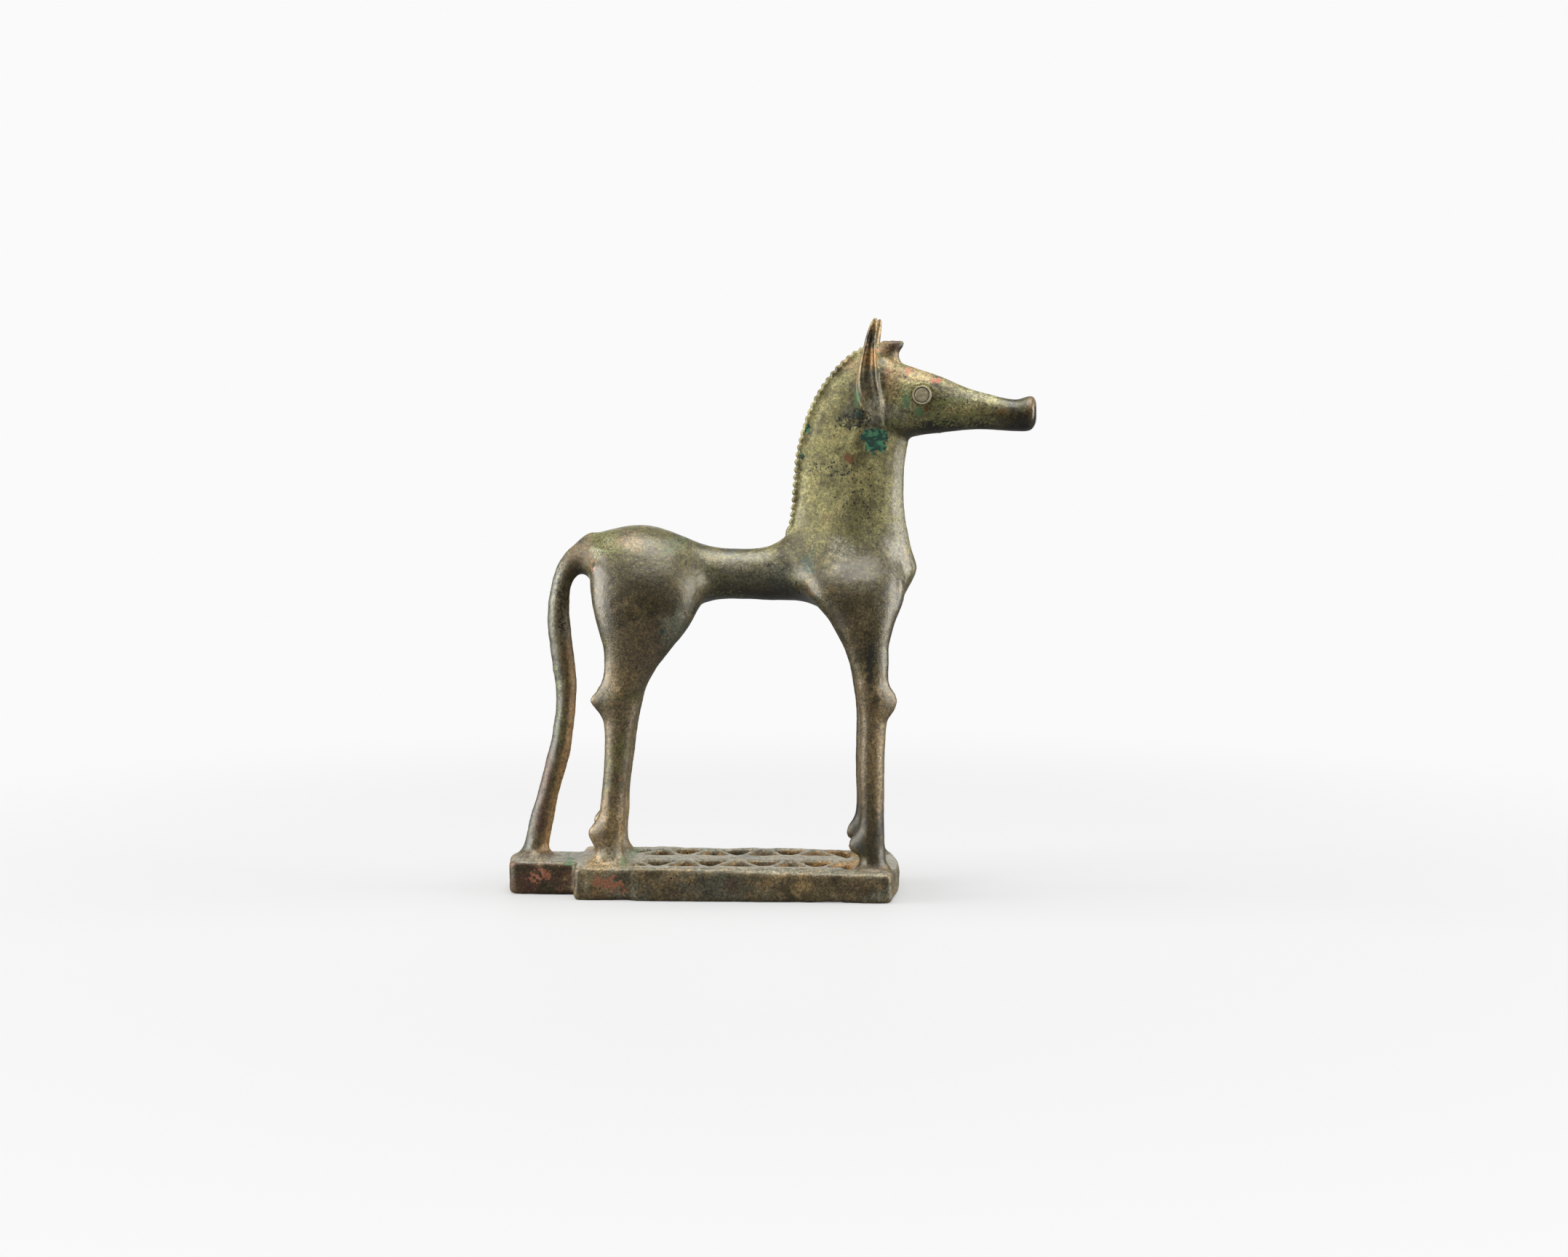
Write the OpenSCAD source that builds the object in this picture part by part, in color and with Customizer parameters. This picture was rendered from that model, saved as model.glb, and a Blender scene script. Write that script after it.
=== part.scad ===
// Small bronze horse standing on a pierced plate, cast in one piece with it.
// Millimetres. The horse faces +X, +Z is up, its right side is on -Y.
// The origin lies on the floor under the middle of the whole outline.

/* [Overall] */
// height from the floor to the ear tips
total_height = 176; // [120:1:220]
// distance between the middles of the hind legs
hind_spacing = 27; // [24:1:30]
// distance between the middles of the forelegs
fore_spacing = 34; // [30:1:38]
// how far the head is turned to the right, in degrees
head_turn = 6; // [0:1:10]

// how far the rump, the hind legs and the tail stand to the left of the line through the forelegs
rear_offset = 2.5; // [0:0.5:3]

/* [Plate] */
// length of the pierced plate along the horse
plate_length = 95.9; // [94:0.1:98]
// from the line midway between the forelegs to the right edge of the plate
plate_right = 21.5; // [20:0.5:24]
// from the same line to the left edge of the plate
plate_left = 23.9; // [20:0.5:26]
// how much the right edge swings out toward the head end
edge_skew = 3.2; // [0:0.1:4]
// how far the head end of the plate bulges
end_bulge = 2.8; // [0.5:0.1:4]
// thickness of the plate at the tail end
thick_tail_end = 10; // [9:0.1:12]
// thickness of the plate at the head end
thick_head_end = 8.7; // [7:0.1:10]
// rounding of the plate's corners
corner_round = 1.7; // [1.5:0.1:4]

/* [Openwork] */
// number of three-cornered openings in each of the two rows
openings = 9; // [5:2:9]
// step between neighbouring openings
opening_step = 8.1; // [7.5:0.1:8.3]
// half the width of the plain strip between the two rows
strip_half = 4.5; // [3:0.1:6]
// where the two rows end behind the forefeet
row_end = 24.6; // [20:0.2:27]
// where the two rows start in front of the hind feet
row_start = -42.4; // [-45:0.2:-38]
// depth of a row of openings across the plate
row_depth = 12.6; // [9:0.1:13]
// rounding of the corners of an opening
opening_round = 1; // [0.6:0.1:1.2]

/* [Tail ledge] */
// how far the ledge stands out behind the plate
ledge_length = 21.1; // [18:0.1:24]
// width of the ledge
ledge_width = 22; // [16:0.5:26]
// thickness of the ledge
ledge_thick = 10.2; // [8:0.1:12]
// how far the ledge and the tail's foot lie to the left of that line
ledge_offset = 3; // [0:0.5:4]

/* [Body] */
// width of the barrel
barrel_width = 16.4; // [14:0.2:20]
// half the width of the rump at its widest
rump_half = 16; // [13:0.5:18]
// thickness of a haunch from side to side
haunch_thick = 15.8; // [13:0.2:18]
// thickness of a shoulder from side to side
shoulder_thick = 15.2; // [12:0.2:17]
// thickness of a leg from side to side below the hock or knee
shank_thick = 7.8; // [6.4:0.2:9]
// how much lower the left knee was modelled than the right one
left_knee_drop = 2.2; // [0:0.2:3]

/* [Neck and head] */
// width of the neck at mid height
neck_width = 14.6; // [11:0.2:18]
// thickness of the mane's comb
mane_thick = 2.8; // [2:0.1:4]
// number of notches cut in the mane
mane_notches = 30; // [10:1:40]
// radius of a mane notch
notch_radius = 0.65; // [0.4:0.05:0.9]
// half the width of the head at the cheeks
cheek_half = 8; // [7:0.1:9]
// distance between the middles of the ears at their tips
ear_spread = 18.4; // [16:0.2:21]
// depth of the hollow in an ear
ear_hollow = 1.5; // [0.6:0.1:2]
// diameter of an eye disc
eye_diameter = 5.7; // [4.5:0.1:6.5]
// how far an eye disc stands out of the head
eye_rise = 0.7; // [0.4:0.1:1.2]

/* [Tail] */
// thickness of the tail from side to side
tail_thick = 6.6; // [5:0.2:8]

/* [Hidden] */
k = total_height / 176;
big = 400;
plate_back = -59.6;
plate_front = plate_back + plate_length;
hind_y = hind_spacing / 2;
fore_y = fore_spacing / 2;
joint_level = 64;
fetlock_level = 27;
withers_level = 110.5;
muzzle_start = 70.5;
turn_point = 30;
row_shift = 1.2;
first_opening = (plate_back + plate_front) / 2 + row_shift - opening_step * (openings - 1) / 2;
plate_mid_y = (plate_left - plate_right) / 2;
shank = shank_thick / 2;

// ---- smoothing and lofting ----

// one number between p1 and p2 on a smooth curve through four
function smooth(p0, p1, p2, p3, u) =
    p1 + u * ((p2 - p0) / 2 + u * (p0 - 2.5 * p1 + 2 * p2 - p3 / 2 + u * (1.5 * (p1 - p2) + (p3 - p0) / 2)));

// the row of values at position s along a list of rows
function row_at(rows, s) =
    let (last = len(rows) - 1)
    let (i = min(floor(s), last - 1))
    let (a = rows[max(i - 1, 0)])
    let (d = rows[min(i + 2, last)])
    [for (j = [0:len(rows[0]) - 1]) smooth(a[j], rows[i][j], rows[i + 1][j], d[j], s - i)];

// the rows with steps - 1 new ones between each two
function refine(rows, steps) =
    [for (i = [0:(len(rows) - 1) * steps]) row_at(rows, i / steps)];

function signed_power(v, p) = v < 0 ? -pow(-v, p) : pow(v, p);

// a ring is [centre, tilt, half height, half width, pinch over, pinch under, roundness]:
// tilt 0 lies flat with its over side forward, tilt 90 stands up with its over side on top
function ring_point(r, a) =
    let (c = signed_power(cos(a), 2 / r[6]))
    let (s = signed_power(sin(a), 2 / r[6]))
    let (w = c > 0 ? 1 - r[4] * c : 1 + r[5] * c)
    r[0] + [cos(r[1]) * r[2] * c, r[3] * s * w, sin(r[1]) * r[2] * c];

// closed solid through the rings
module loft(rings, sides) {
    count = len(rings);
    points = [for (r = rings) for (i = [0:sides - 1]) ring_point(r, 360 * i / sides)];
    lower = [[for (i = [0:sides - 1]) i]];
    upper = [[for (i = [0:sides - 1]) count * sides - 1 - i]];
    wall_a = [for (j = [0:count - 2]) for (i = [0:sides - 1])
        [j * sides + i, (j + 1) * sides + i, j * sides + (i + 1) % sides]];
    wall_b = [for (j = [0:count - 2]) for (i = [0:sides - 1])
        [j * sides + (i + 1) % sides, (j + 1) * sides + i, (j + 1) * sides + (i + 1) % sides]];
    polyhedron(points, concat(lower, upper, wall_a, wall_b), convexity = 6);
}

// upright limb: rows run downward and are
// [level, back, front, sideways, half thickness, pinch back, pinch front]
function limb_ring(r, side, shift = 0) =
    [[(r[1] + r[2]) / 2, shift + side * r[3], r[0]], 180, (r[2] - r[1]) / 2, r[4], r[5], r[6], 2];

// level body: rows are [along, bottom, top, half width, pinch top, pinch bottom], front end first
function level_ring(r, shift = 0) =
    [[r[0], shift, (r[1] + r[2]) / 2], 90, (r[2] - r[1]) / 2, r[3], r[4], r[5], 2];

// bent bar: rows are [along, up, sideways, tilt, half height, half width]
function bar_ring(r, roundness) =
    [[r[0], r[2], r[1]], r[3], r[4], r[5], 0, 0, roundness];

// the spine runs over to the left toward the rump
function spine_shift(x) = rear_offset * max(0, min(1, (5 - x) / 40));

// joins whole lofts as one mesh; a resize to nothing leaves the size as it is
module shape() {
    resize([0, 0, 0]) scale(k) children();
}

// everything between two levels
module slab(low, high) {
    translate([-big / 2, -big / 2, low]) cube([big, big, high - low]);
}

// ---- whole limbs and bodies, before they are parted into nodes ----

function hind_rows() = [
    [108.5, -46, -34, hind_y - 7, 2.6, 0, 0],
    [105.5, -51, -28.2, hind_y - 5.5, haunch_thick * 0.33, 0, 0],
    [101, -55, -23.6, hind_y - 4, haunch_thick * 0.44, 0, 0],
    [96, -56.1, -21.1, hind_y - 3, haunch_thick * 0.5, 0, 0],
    [91, -56, -20.4, hind_y - 2.3, haunch_thick * 0.5, 0, 0],
    [87, -55.4, -21.2, hind_y - 1.8, haunch_thick * 0.475, 0, 0],
    [83, -54.5, -23, hind_y - 1.3, haunch_thick * 0.435, 0, 0],
    [79, -53.3, -25.8, hind_y - 0.9, haunch_thick * 0.395, 0, 0],
    [75, -52, -29.5, hind_y - 0.6, haunch_thick * 0.36, 0.05, 0],
    [71, -51.1, -33.7, hind_y - 0.3, haunch_thick * 0.325, 0.12, 0],
    [67, -51.1, -36.6, hind_y - 0.2, shank * 1.2, 0.25, 0],
    [63.4, -52.6, -38.3, hind_y, shank * 1.16, 0.45, 0],
    [60.2, -55.1, -39.5, hind_y, shank * 1.12, 0.55, 0],
    [57.4, -53.3, -40.2, hind_y, shank * 1.08, 0.4, 0],
    [54, -51.2, -41, hind_y, shank * 1.04, 0.2, 0],
    [48, -50.7, -42, hind_y, shank, 0.1, 0],
    [41, -50.9, -42.9, hind_y, shank, 0.1, 0],
    [34, -51.5, -43.8, hind_y, shank, 0.1, 0],
    [28.5, -52.1, -44.4, hind_y, shank, 0.12, 0],
    [25, -52.6, -44.5, hind_y, shank * 1.02, 0.25, 0],
    [22.2, -54.4, -44.6, hind_y, shank * 1.03, 0.4, 0],
    [19.8, -55.9, -44.9, hind_y, shank * 1.02, 0.45, 0],
    [17.2, -55, -45, hind_y, shank * 1.02, 0.35, 0],
    [14.6, -53.6, -45, hind_y, shank * 1.05, 0.15, 0],
    [12.6, -53.9, -44.6, hind_y, shank * 1.12, 0, 0],
    [10.8, -55.8, -43.2, hind_y, shank * 1.35, 0, 0],
    [8.5, -57.4, -41.8, hind_y, shank * 1.45, 0, 0]];

function fore_rows(drop) = [
    [105, 17, 34, fore_y - 9.2, 2.6, 0, 0],
    [101.5, 12, 38.2, fore_y - 7.6, shoulder_thick * 0.35, 0, 0],
    [97.5, 9.4, 40.4, fore_y - 6, shoulder_thick * 0.47, 0, 0],
    [93, 8.9, 40.6, fore_y - 4.6, shoulder_thick * 0.5, 0, 0],
    [89.5, 12.2, 39.9, fore_y - 3.6, shoulder_thick * 0.48, 0, 0],
    [86.5, 15.9, 39.1, fore_y - 2.8, shoulder_thick * 0.45, 0, 0],
    [83, 17.2, 38.2, fore_y - 2, shoulder_thick * 0.41, 0, 0],
    [79, 19.3, 37.2, fore_y - 1.3, shoulder_thick * 0.37, 0, 0],
    [75, 21.4, 36.5, fore_y - 0.8, shoulder_thick * 0.335, 0, 0],
    [71, 23.5, 35.8, fore_y - 0.4, shoulder_thick * 0.31, 0, 0.05],
    [67.5 - drop / 2, 24.9, 35.3, fore_y - 0.2, shank * 1.14, 0, 0.15],
    [65 - drop, 25.5, 35.9, fore_y, shank * 1.14, 0, 0.35],
    [62.6 - drop, 25.9, 37.5, fore_y, shank * 1.13, 0, 0.5],
    [60.2 - drop, 26.2, 38, fore_y, shank * 1.1, 0, 0.5],
    [57.4 - drop, 26.4, 37, fore_y, shank * 1.06, 0, 0.35],
    [54.4 - drop / 2, 26.5, 35.1, fore_y, shank * 1.02, 0, 0.15],
    [49, 26.5, 34.6, fore_y, shank, 0, 0.05],
    [41, 26.4, 34.3, fore_y, shank, 0, 0],
    [33, 26.5, 34.2, fore_y, shank, 0, 0],
    [27.5, 26.7, 34.2, fore_y, shank, 0, 0],
    [24 - drop / 2, 26.5, 34.2, fore_y, shank, 0.1, 0],
    [21.4 - drop / 2, 25.8, 34.3, fore_y, shank * 1.02, 0.25, 0],
    [18.8 - drop / 2, 24.1, 34.4, fore_y, shank * 1.03, 0.4, 0],
    [16.4 - drop / 2, 23.4, 34.5, fore_y, shank * 1.02, 0.42, 0],
    [14.9 - drop / 2, 24.2, 34.6, fore_y, shank * 1.02, 0.35, 0],
    [13.9 - drop / 2, 26.1, 34.7, fore_y, shank * 1.02, 0.15, 0],
    [12.5 - drop / 4, 26.8, 34.8, fore_y, shank * 1.04, 0, 0],
    [11, 26.4, 35.2, fore_y, shank * 1.1, 0, 0],
    [9.4, 25.4, 36.3, fore_y, shank * 1.22, 0, 0],
    [7.4, 24.6, 37.6, fore_y, shank * 1.36, 0, 0]];

module whole_hind_leg(side) {
    loft([for (r = refine(hind_rows(), 2)) limb_ring(r, side, rear_offset)], 16);
}

module whole_fore_leg(side) {
    drop = side > 0 ? left_knee_drop : 0;
    loft([for (r = refine(fore_rows(drop), 2)) limb_ring(r, side)], 16);
}

module whole_croup() {
    rows = [
        [-17, 92, 105.4, 6, 0, 0],
        [-20.5, 88.8, 107.1, 8.6, 0, 0],
        [-24.5, 87.4, 108.8, rump_half * 0.66, 0, 0],
        [-29, 86.6, 110.8, rump_half * 0.82, 0, 0],
        [-34, 86.2, 112.4, rump_half * 0.94, 0, 0],
        [-40, 86.2, 113.3, rump_half, 0, 0],
        [-46, 87, 112.6, rump_half * 0.96, 0, 0],
        [-50.5, 88.8, 111.5, rump_half * 0.83, 0, 0],
        [-54, 92, 110.1, rump_half * 0.62, 0, 0],
        [-56.3, 96.5, 108.8, rump_half * 0.36, 0, 0],
        [-57.2, 100.2, 107, rump_half * 0.14, 0, 0]];
    loft([for (r = refine(rows, 2)) level_ring(r, spine_shift(r[0]))], 26);
}

module whole_barrel() {
    h = barrel_width / 2;
    rows = [
        [14, 91, 105.4, h * 0.9, 0, 0],
        [7, 89.2, 106.3, h, 0, 0],
        [0, 89.3, 106.4, h, 0, 0],
        [-7, 89.7, 106.3, h, 0, 0],
        [-14, 89.8, 106.3, h, 0, 0],
        [-18.5, 89.3, 106.9, h * 1.04, 0, 0],
        [-23, 88, 108, h * 1.14, 0, 0],
        [-28, 87.5, 109.5, h * 1.2, 0, 0]];
    loft([for (r = refine(rows, 2)) level_ring(r, spine_shift(r[0]))], 26);
}

// neck, withers and breast in one, from the poll down
module whole_forehand() {
    n = neck_width / 2;
    rows = [
        [166.8, 29.5, 33, n * 0.3, 0.2, 0],
        [165.2, 26.5, 35.6, n * 0.5, 0.4, 0],
        [162, 22.6, 37.6, n * 0.68, 0.5, 0],
        [158, 18.8, 39.2, n * 0.78, 0.5, 0],
        [153, 15.2, 40.4, n * 0.85, 0.5, 0],
        [148, 12.6, 41.3, n * 0.89, 0.5, 0],
        [143, 10.9, 41.9, n * 0.93, 0.5, 0],
        [138, 9.2, 41.7, n * 0.96, 0.5, 0],
        [132, 8.3, 40.8, n, 0.5, 0],
        [125, 7.8, 40.6, n * 1.08, 0.48, 0],
        [119, 7, 40.6, n * 1.2, 0.45, 0],
        [114.5, 6.4, 41.1, n * 1.34, 0.4, 0.05],
        [111, 5, 41.8, n * 1.46, 0.35, 0.1],
        [108.2, 2.2, 42.4, n * 1.6, 0.3, 0.15],
        [105.4, -2, 43.1, n * 1.72, 0.25, 0.22],
        [102.4, 0, 44.1, n * 1.84, 0.15, 0.3],
        [99.6, 2.4, 44.6, n * 1.93, 0.05, 0.32],
        [96.6, 4.6, 43.6, n * 1.97, 0, 0.26],
        [93.4, 7, 41.9, n * 1.95, 0, 0.18],
        [90.4, 10, 40.5, n * 1.84, 0, 0.1],
        [87.8, 13.8, 39.6, n * 1.56, 0, 0],
        [86, 18.5, 36.6, n * 1.05, 0, 0]];
    loft([for (r = refine(rows, 2)) limb_ring([r[0], r[1], r[2], 0, r[3], r[4], r[5]], 1)], 28);
}

module whole_head() {
    c = cheek_half;
    rows = [
        [80.7, 145.2, 149.6, c * 0.32, 0, 0],
        [80.3, 143.6, 151.4, c * 0.55, 0, 0],
        [79.2, 142.1, 152.4, c * 0.67, 0, 0],
        [77.4, 141.6, 152.1, c * 0.66, 0, 0],
        [75.2, 141.6, 151.4, c * 0.6, 0, 0],
        [72.4, 141.7, 151.5, c * 0.57, 0, 0],
        [68, 142, 152.5, c * 0.58, 0, 0],
        [62.5, 142.1, 153.9, c * 0.62, 0, 0],
        [57, 141.7, 155.9, c * 0.69, 0, 0],
        [51.5, 141.2, 158.3, c * 0.78, 0, 0],
        [47, 140.7, 159.9, c * 0.86, 0, 0],
        [43.5, 140, 161.1, c * 0.92, 0, 0],
        [40.2, 139.4, 162.2, c * 0.97, 0, 0],
        [36.8, 140.1, 164.2, c, 0, 0],
        [33.4, 142.8, 165, c * 0.99, 0, 0],
        [30.4, 146, 164.8, c * 0.92, 0, 0],
        [28, 149.4, 163.2, c * 0.78, 0, 0],
        [26.5, 152.8, 160.6, c * 0.5, 0, 0],
        [26, 155.2, 158.6, c * 0.22, 0, 0]];
    loft([for (r = refine(rows, 2)) level_ring(r)], 24);
}

function ear_rows() = [
    [176, 32, 32.9, ear_spread / 2, 0.5, 0, 0],
    [174.3, 30.9, 33.1, ear_spread / 2 - 0.1, 1.1, 0, 0],
    [171.5, 29.8, 32.9, ear_spread / 2 - 0.3, 1.7, 0, 0],
    [167.5, 28.7, 32.6, ear_spread / 2 - 0.7, 2.3, 0, 0],
    [162.5, 27.3, 33, ear_spread / 2 - 1.2, 2.8, 0, 0],
    [157.5, 26.5, 33.5, ear_spread / 2 - 1.7, 3.1, 0, 0],
    [153, 26.8, 34.6, ear_spread / 2 - 2.1, 3.1, 0, 0],
    [149.5, 28.3, 35.4, ear_spread / 2 - 2.5, 2.6, 0, 0],
    [146.6, 29.8, 35, ear_spread / 2 - 3, 2, 0, 0],
    [144, 31.4, 34.8, ear_spread / 2 - 3.8, 1.3, 0, 0],
    [141.8, 32.9, 34.9, ear_spread / 2 - 4.8, 0.6, 0, 0]];

// the long groove that runs down the outside of an ear
function hollow_rows() = [
    [174.4, 32, 32.6, ear_spread / 2 + 1.2, 0.3, 0, 0],
    [171.5, 30.6, 32.6, ear_spread / 2 + 1.5, ear_hollow * 0.7, 0, 0],
    [167, 29.4, 32.1, ear_spread / 2 + 1.7, ear_hollow, 0, 0],
    [162, 28.3, 32.1, ear_spread / 2 + 1.7, ear_hollow * 1.1, 0, 0],
    [157, 27.6, 32.6, ear_spread / 2 + 1.5, ear_hollow * 1.1, 0, 0],
    [152.5, 28.2, 33.8, ear_spread / 2 + 1.1, ear_hollow * 0.9, 0, 0],
    [148.6, 31, 34.6, ear_spread / 2 + 0.6, ear_hollow * 0.5, 0, 0]];

module whole_ear(side) {
    difference() {
        loft([for (r = refine(ear_rows(), 2)) limb_ring(r, side)], 12);
        loft([for (r = refine(hollow_rows(), 2)) limb_ring(r, side)], 10);
    }
}

// flat button with a raised rim, set square on the side of the head
module whole_eye(side) {
    r = eye_diameter / 2;
    translate([45.9, side * 6.6, 152.4]) rotate([-side * 93, 0, side * 8]) rotate_extrude($fn = 28) {
        polygon([[0, -2], [r, -2], [r, eye_rise - 0.25], [r - 0.25, eye_rise], [r - 0.6, eye_rise],
                 [r - 0.85, eye_rise - 0.25], [0, eye_rise - 0.05]]);
    }
}

module whole_forelock() {
    rows = [
        [169.1, 34.4, 39.8, 1.4, 0, 0],
        [168.5, 33.2, 40.5, 2.6, 0, 0],
        [167.2, 32.6, 40.1, 3, 0, 0],
        [165.4, 31.6, 38.9, 3.1, 0, 0],
        [163.4, 31, 39.2, 3.3, 0, 0],
        [161, 31.5, 40.2, 3.5, 0, 0]];
    difference() {
        loft([for (r = refine(rows, 2)) limb_ring([r[0], r[1], r[2], 0, r[3], 0, 0], 1)], 20);
        for (x = [35.9, 38.3])
            translate([x, 0, 169.4]) rotate([90, 0, 0]) cylinder(h = 10, r = 0.6, center = true, $fn = 10);
    }
}

// crest line of the mane from the poll down: [along, up, sideways, tilt, half height, half width]
function crest_rows() = [
    [32.5, 167.2, 0, 96, 1.5, mane_thick / 2],
    [28.8, 166.1, 0, 110, 1.6, mane_thick / 2],
    [25.4, 164.2, 0, 122, 1.7, mane_thick / 2],
    [21.6, 160.9, 0, 131, 1.7, mane_thick / 2],
    [18.3, 157, 0, 141, 1.7, mane_thick / 2],
    [15, 152, 0, 153, 1.7, mane_thick / 2],
    [12.4, 146.6, 0, 160, 1.7, mane_thick / 2],
    [10.6, 141, 0, 164, 1.7, mane_thick / 2],
    [9.2, 135, 0, 170, 1.7, mane_thick / 2],
    [8.5, 129, 0, 176, 1.7, mane_thick / 2],
    [8, 123, 0, 175, 1.7, mane_thick / 2],
    [7.4, 117, 0, 172, 1.6, mane_thick / 2],
    [6.2, 111.6, 0, 152, 1.4, mane_thick / 2],
    [3.3, 108.2, 0, 132, 0.9, mane_thick / 2]];

module mane_strip() {
    loft([for (r = refine(crest_rows(), 2)) bar_ring(r, 2.6)], 10);
}

module whole_mane() {
    rows = crest_rows();
    difference() {
        mane_strip();
        for (i = [0:mane_notches - 1]) {
            r = row_at(rows, 0.8 + (len(rows) - 2.6) * i / (mane_notches - 1));
            translate([r[0] + (r[4] + 0.2) * cos(r[3]), 0, r[1] + (r[4] + 0.2) * sin(r[3])])
                rotate([90, 0, 0]) cylinder(h = 8, r = notch_radius, center = true, $fn = 6);
        }
    }
}

module whole_tail() {
    w = tail_thick / 2;
    q = rear_offset;
    o = ledge_offset;
    rows = [
        [-50, 104.6, q, 92, 5.6, w * 1.6],
        [-54.2, 104.2, q, 98, 5.3, w * 1.5],
        [-58.3, 103.4, q, 110, 4.5, w * 1.3],
        [-61.1, 101.4, q, 130, 3.8, w * 1.15],
        [-63.1, 98.5, q, 152, 3.4, w * 1.07],
        [-64.3, 95.2, q, 170, 3.15, w],
        [-65.1, 90.5, q, 177, 3.25, w],
        [-65.4, 84, q, 180, 3.5, w],
        [-64.8, 77, q, 186, 3.5, w],
        [-63.8, 69, q, 187, 3.5, w],
        [-63.2, 62, q, 182, 3.3, w],
        [-63.5, 55, q, 174, 3.15, w],
        [-64.6, 47, q, 169, 3.2, w],
        [-66.6, 38.5, q * 0.85 + o * 0.15, 165, 3.3, w],
        [-68.8, 30.5, q * 0.6 + o * 0.4, 165, 3.4, w],
        [-70.7, 23, q * 0.3 + o * 0.7, 167, 3.6, w * 1.03],
        [-72.2, 16.5, o, 168, 3.7, w * 1.08],
        [-73, 12.6, o, 172, 3.9, w * 1.2],
        [-73.2, 11.1, o, 178, 4.5, w * 1.4],
        [-73.2, 9.2, o, 180, 5.8, w * 1.7]];
    loft([for (r = refine(rows, 2)) bar_ring(r, 1.7)], 16);
}

// ---- the plate ----

// upright rounded post; the hull of several makes a slab with softened edges
module post(x, y, high, round) {
    soft = 0.8;
    translate([x, y, 0]) cylinder(h = high, r = round - soft, $fn = 20);
    translate([x, y, soft]) cylinder(h = high - 2 * soft, r = round, $fn = 20);
}

module plate_block() {
    c = corner_round;
    hull() {
        post(plate_back + c, -plate_right + edge_skew + c, thick_tail_end, c);
        post(plate_back + c + 0.6, plate_left + 0.8 - c, thick_tail_end, c);
        post(plate_front - c, -plate_right - edge_skew + c, thick_head_end, c);
        post(plate_front - c + 1.6, plate_left - 1.5 - c, thick_head_end, c);
        post(plate_front - c + end_bulge, -plate_right * 0.3, thick_head_end, c);
        post(plate_front - c + end_bulge, plate_left * 0.35, thick_head_end, c);
    }
}

module ledge_block() {
    c = corner_round + 1;
    back = plate_back - ledge_length;
    hull() {
        post(back + c + 0.4, ledge_offset - ledge_width / 2 + c, ledge_thick, c);
        post(back + c + 0.4, ledge_offset + ledge_width / 2 - c, ledge_thick - 0.3, c);
        post(back + c, ledge_offset, ledge_thick, c);
        post(plate_back + c, ledge_offset - ledge_width / 2 + c - 1.2, ledge_thick - 0.4, c);
        post(plate_back + c, ledge_offset + ledge_width / 2 - c + 1.5, ledge_thick - 0.4, c);
    }
}

// three-cornered shaft at x in the row on one side, a little wider at the top; every other one is turned round
module opening(x, wide) {
    r = opening_round;
    far = plate_mid_y + wide * (strip_half + row_depth - r);
    near = plate_mid_y + wide * (strip_half + r);
    even = (round((x - first_opening) / opening_step) % 2) == 0;
    base_y = even ? far : near;
    apex_y = even ? near : far;
    half = opening_step * 0.57;
    hull() for (p = [[x - half, base_y], [x + half, base_y], [x, apex_y]])
        translate([p[0], p[1], -1]) cylinder(h = 14, r1 = r * 0.8, r2 = r * 1.25, $fn = 9);
}

// ---- nodes ----

module base_plate() {
    color([0.33, 0.27, 0.2]) shape() difference() {
        plate_block();
        intersection() {
            for (side = [-1, 1]) for (i = [0:openings - 1]) opening(first_opening + i * opening_step, side);
            translate([row_start, -big / 2, -1]) cube([row_end - row_start, big, 20]);
        }
    }
}

module tail_ledge() {
    color([0.36, 0.28, 0.2]) shape() difference() {
        ledge_block();
        plate_block();
    }
}

module tail() {
    color([0.37, 0.31, 0.2]) shape() difference() {
        whole_tail();
        ledge_block();
        whole_croup();
        whole_hind_leg(-1);
        whole_hind_leg(1);
    }
}

module croup() {
    color([0.33, 0.3, 0.2]) shape() whole_croup();
}

module barrel() {
    color([0.3, 0.28, 0.18]) shape() difference() {
        whole_barrel();
        whole_croup();
        whole_forehand();
        for (side = [-1, 1]) {
            whole_hind_leg(side);
            whole_fore_leg(side);
        }
    }
}

module chest() {
    color([0.36, 0.33, 0.21]) shape() intersection() {
        whole_forehand();
        slab(70, withers_level);
    }
}

module turned() {
    translate([turn_point, 0, 0]) rotate([0, 0, -head_turn]) translate([-turn_point, 0, 0]) children();
}

module neck() {
    color([0.42, 0.41, 0.25]) shape() difference() {
        whole_forehand();
        slab(0, withers_level);
        mane_strip();
        turned() {
            whole_head();
            whole_forelock();
            whole_ear(-1);
            whole_ear(1);
        }
    }
}

module mane() {
    color([0.4, 0.4, 0.25]) shape() difference() {
        whole_mane();
        slab(0, withers_level);
        turned() {
            whole_head();
            whole_forelock();
            whole_ear(-1);
            whole_ear(1);
        }
    }
}

module head() {
    color([0.38, 0.36, 0.2]) shape() turned() intersection() {
        whole_head();
        translate([-big + muzzle_start, -big / 2, 0]) cube(big);
    }
}

module muzzle() {
    color([0.3, 0.24, 0.16]) shape() turned() intersection() {
        whole_head();
        translate([muzzle_start, -big / 2, 0]) cube(big);
    }
}

module forelock() {
    color([0.45, 0.32, 0.22]) shape() turned() difference() {
        whole_forelock();
        whole_head();
    }
}

module ear(side) {
    color([0.42, 0.33, 0.2]) shape() turned() difference() {
        whole_ear(side);
        whole_head();
    }
}

module right_ear() {
    ear(-1);
}

module left_ear() {
    ear(1);
}

module eye(side) {
    color([0.4, 0.38, 0.26]) shape() turned() difference() {
        whole_eye(side);
        whole_head();
    }
}

module right_eye() {
    eye(-1);
}

module left_eye() {
    eye(1);
}

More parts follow.
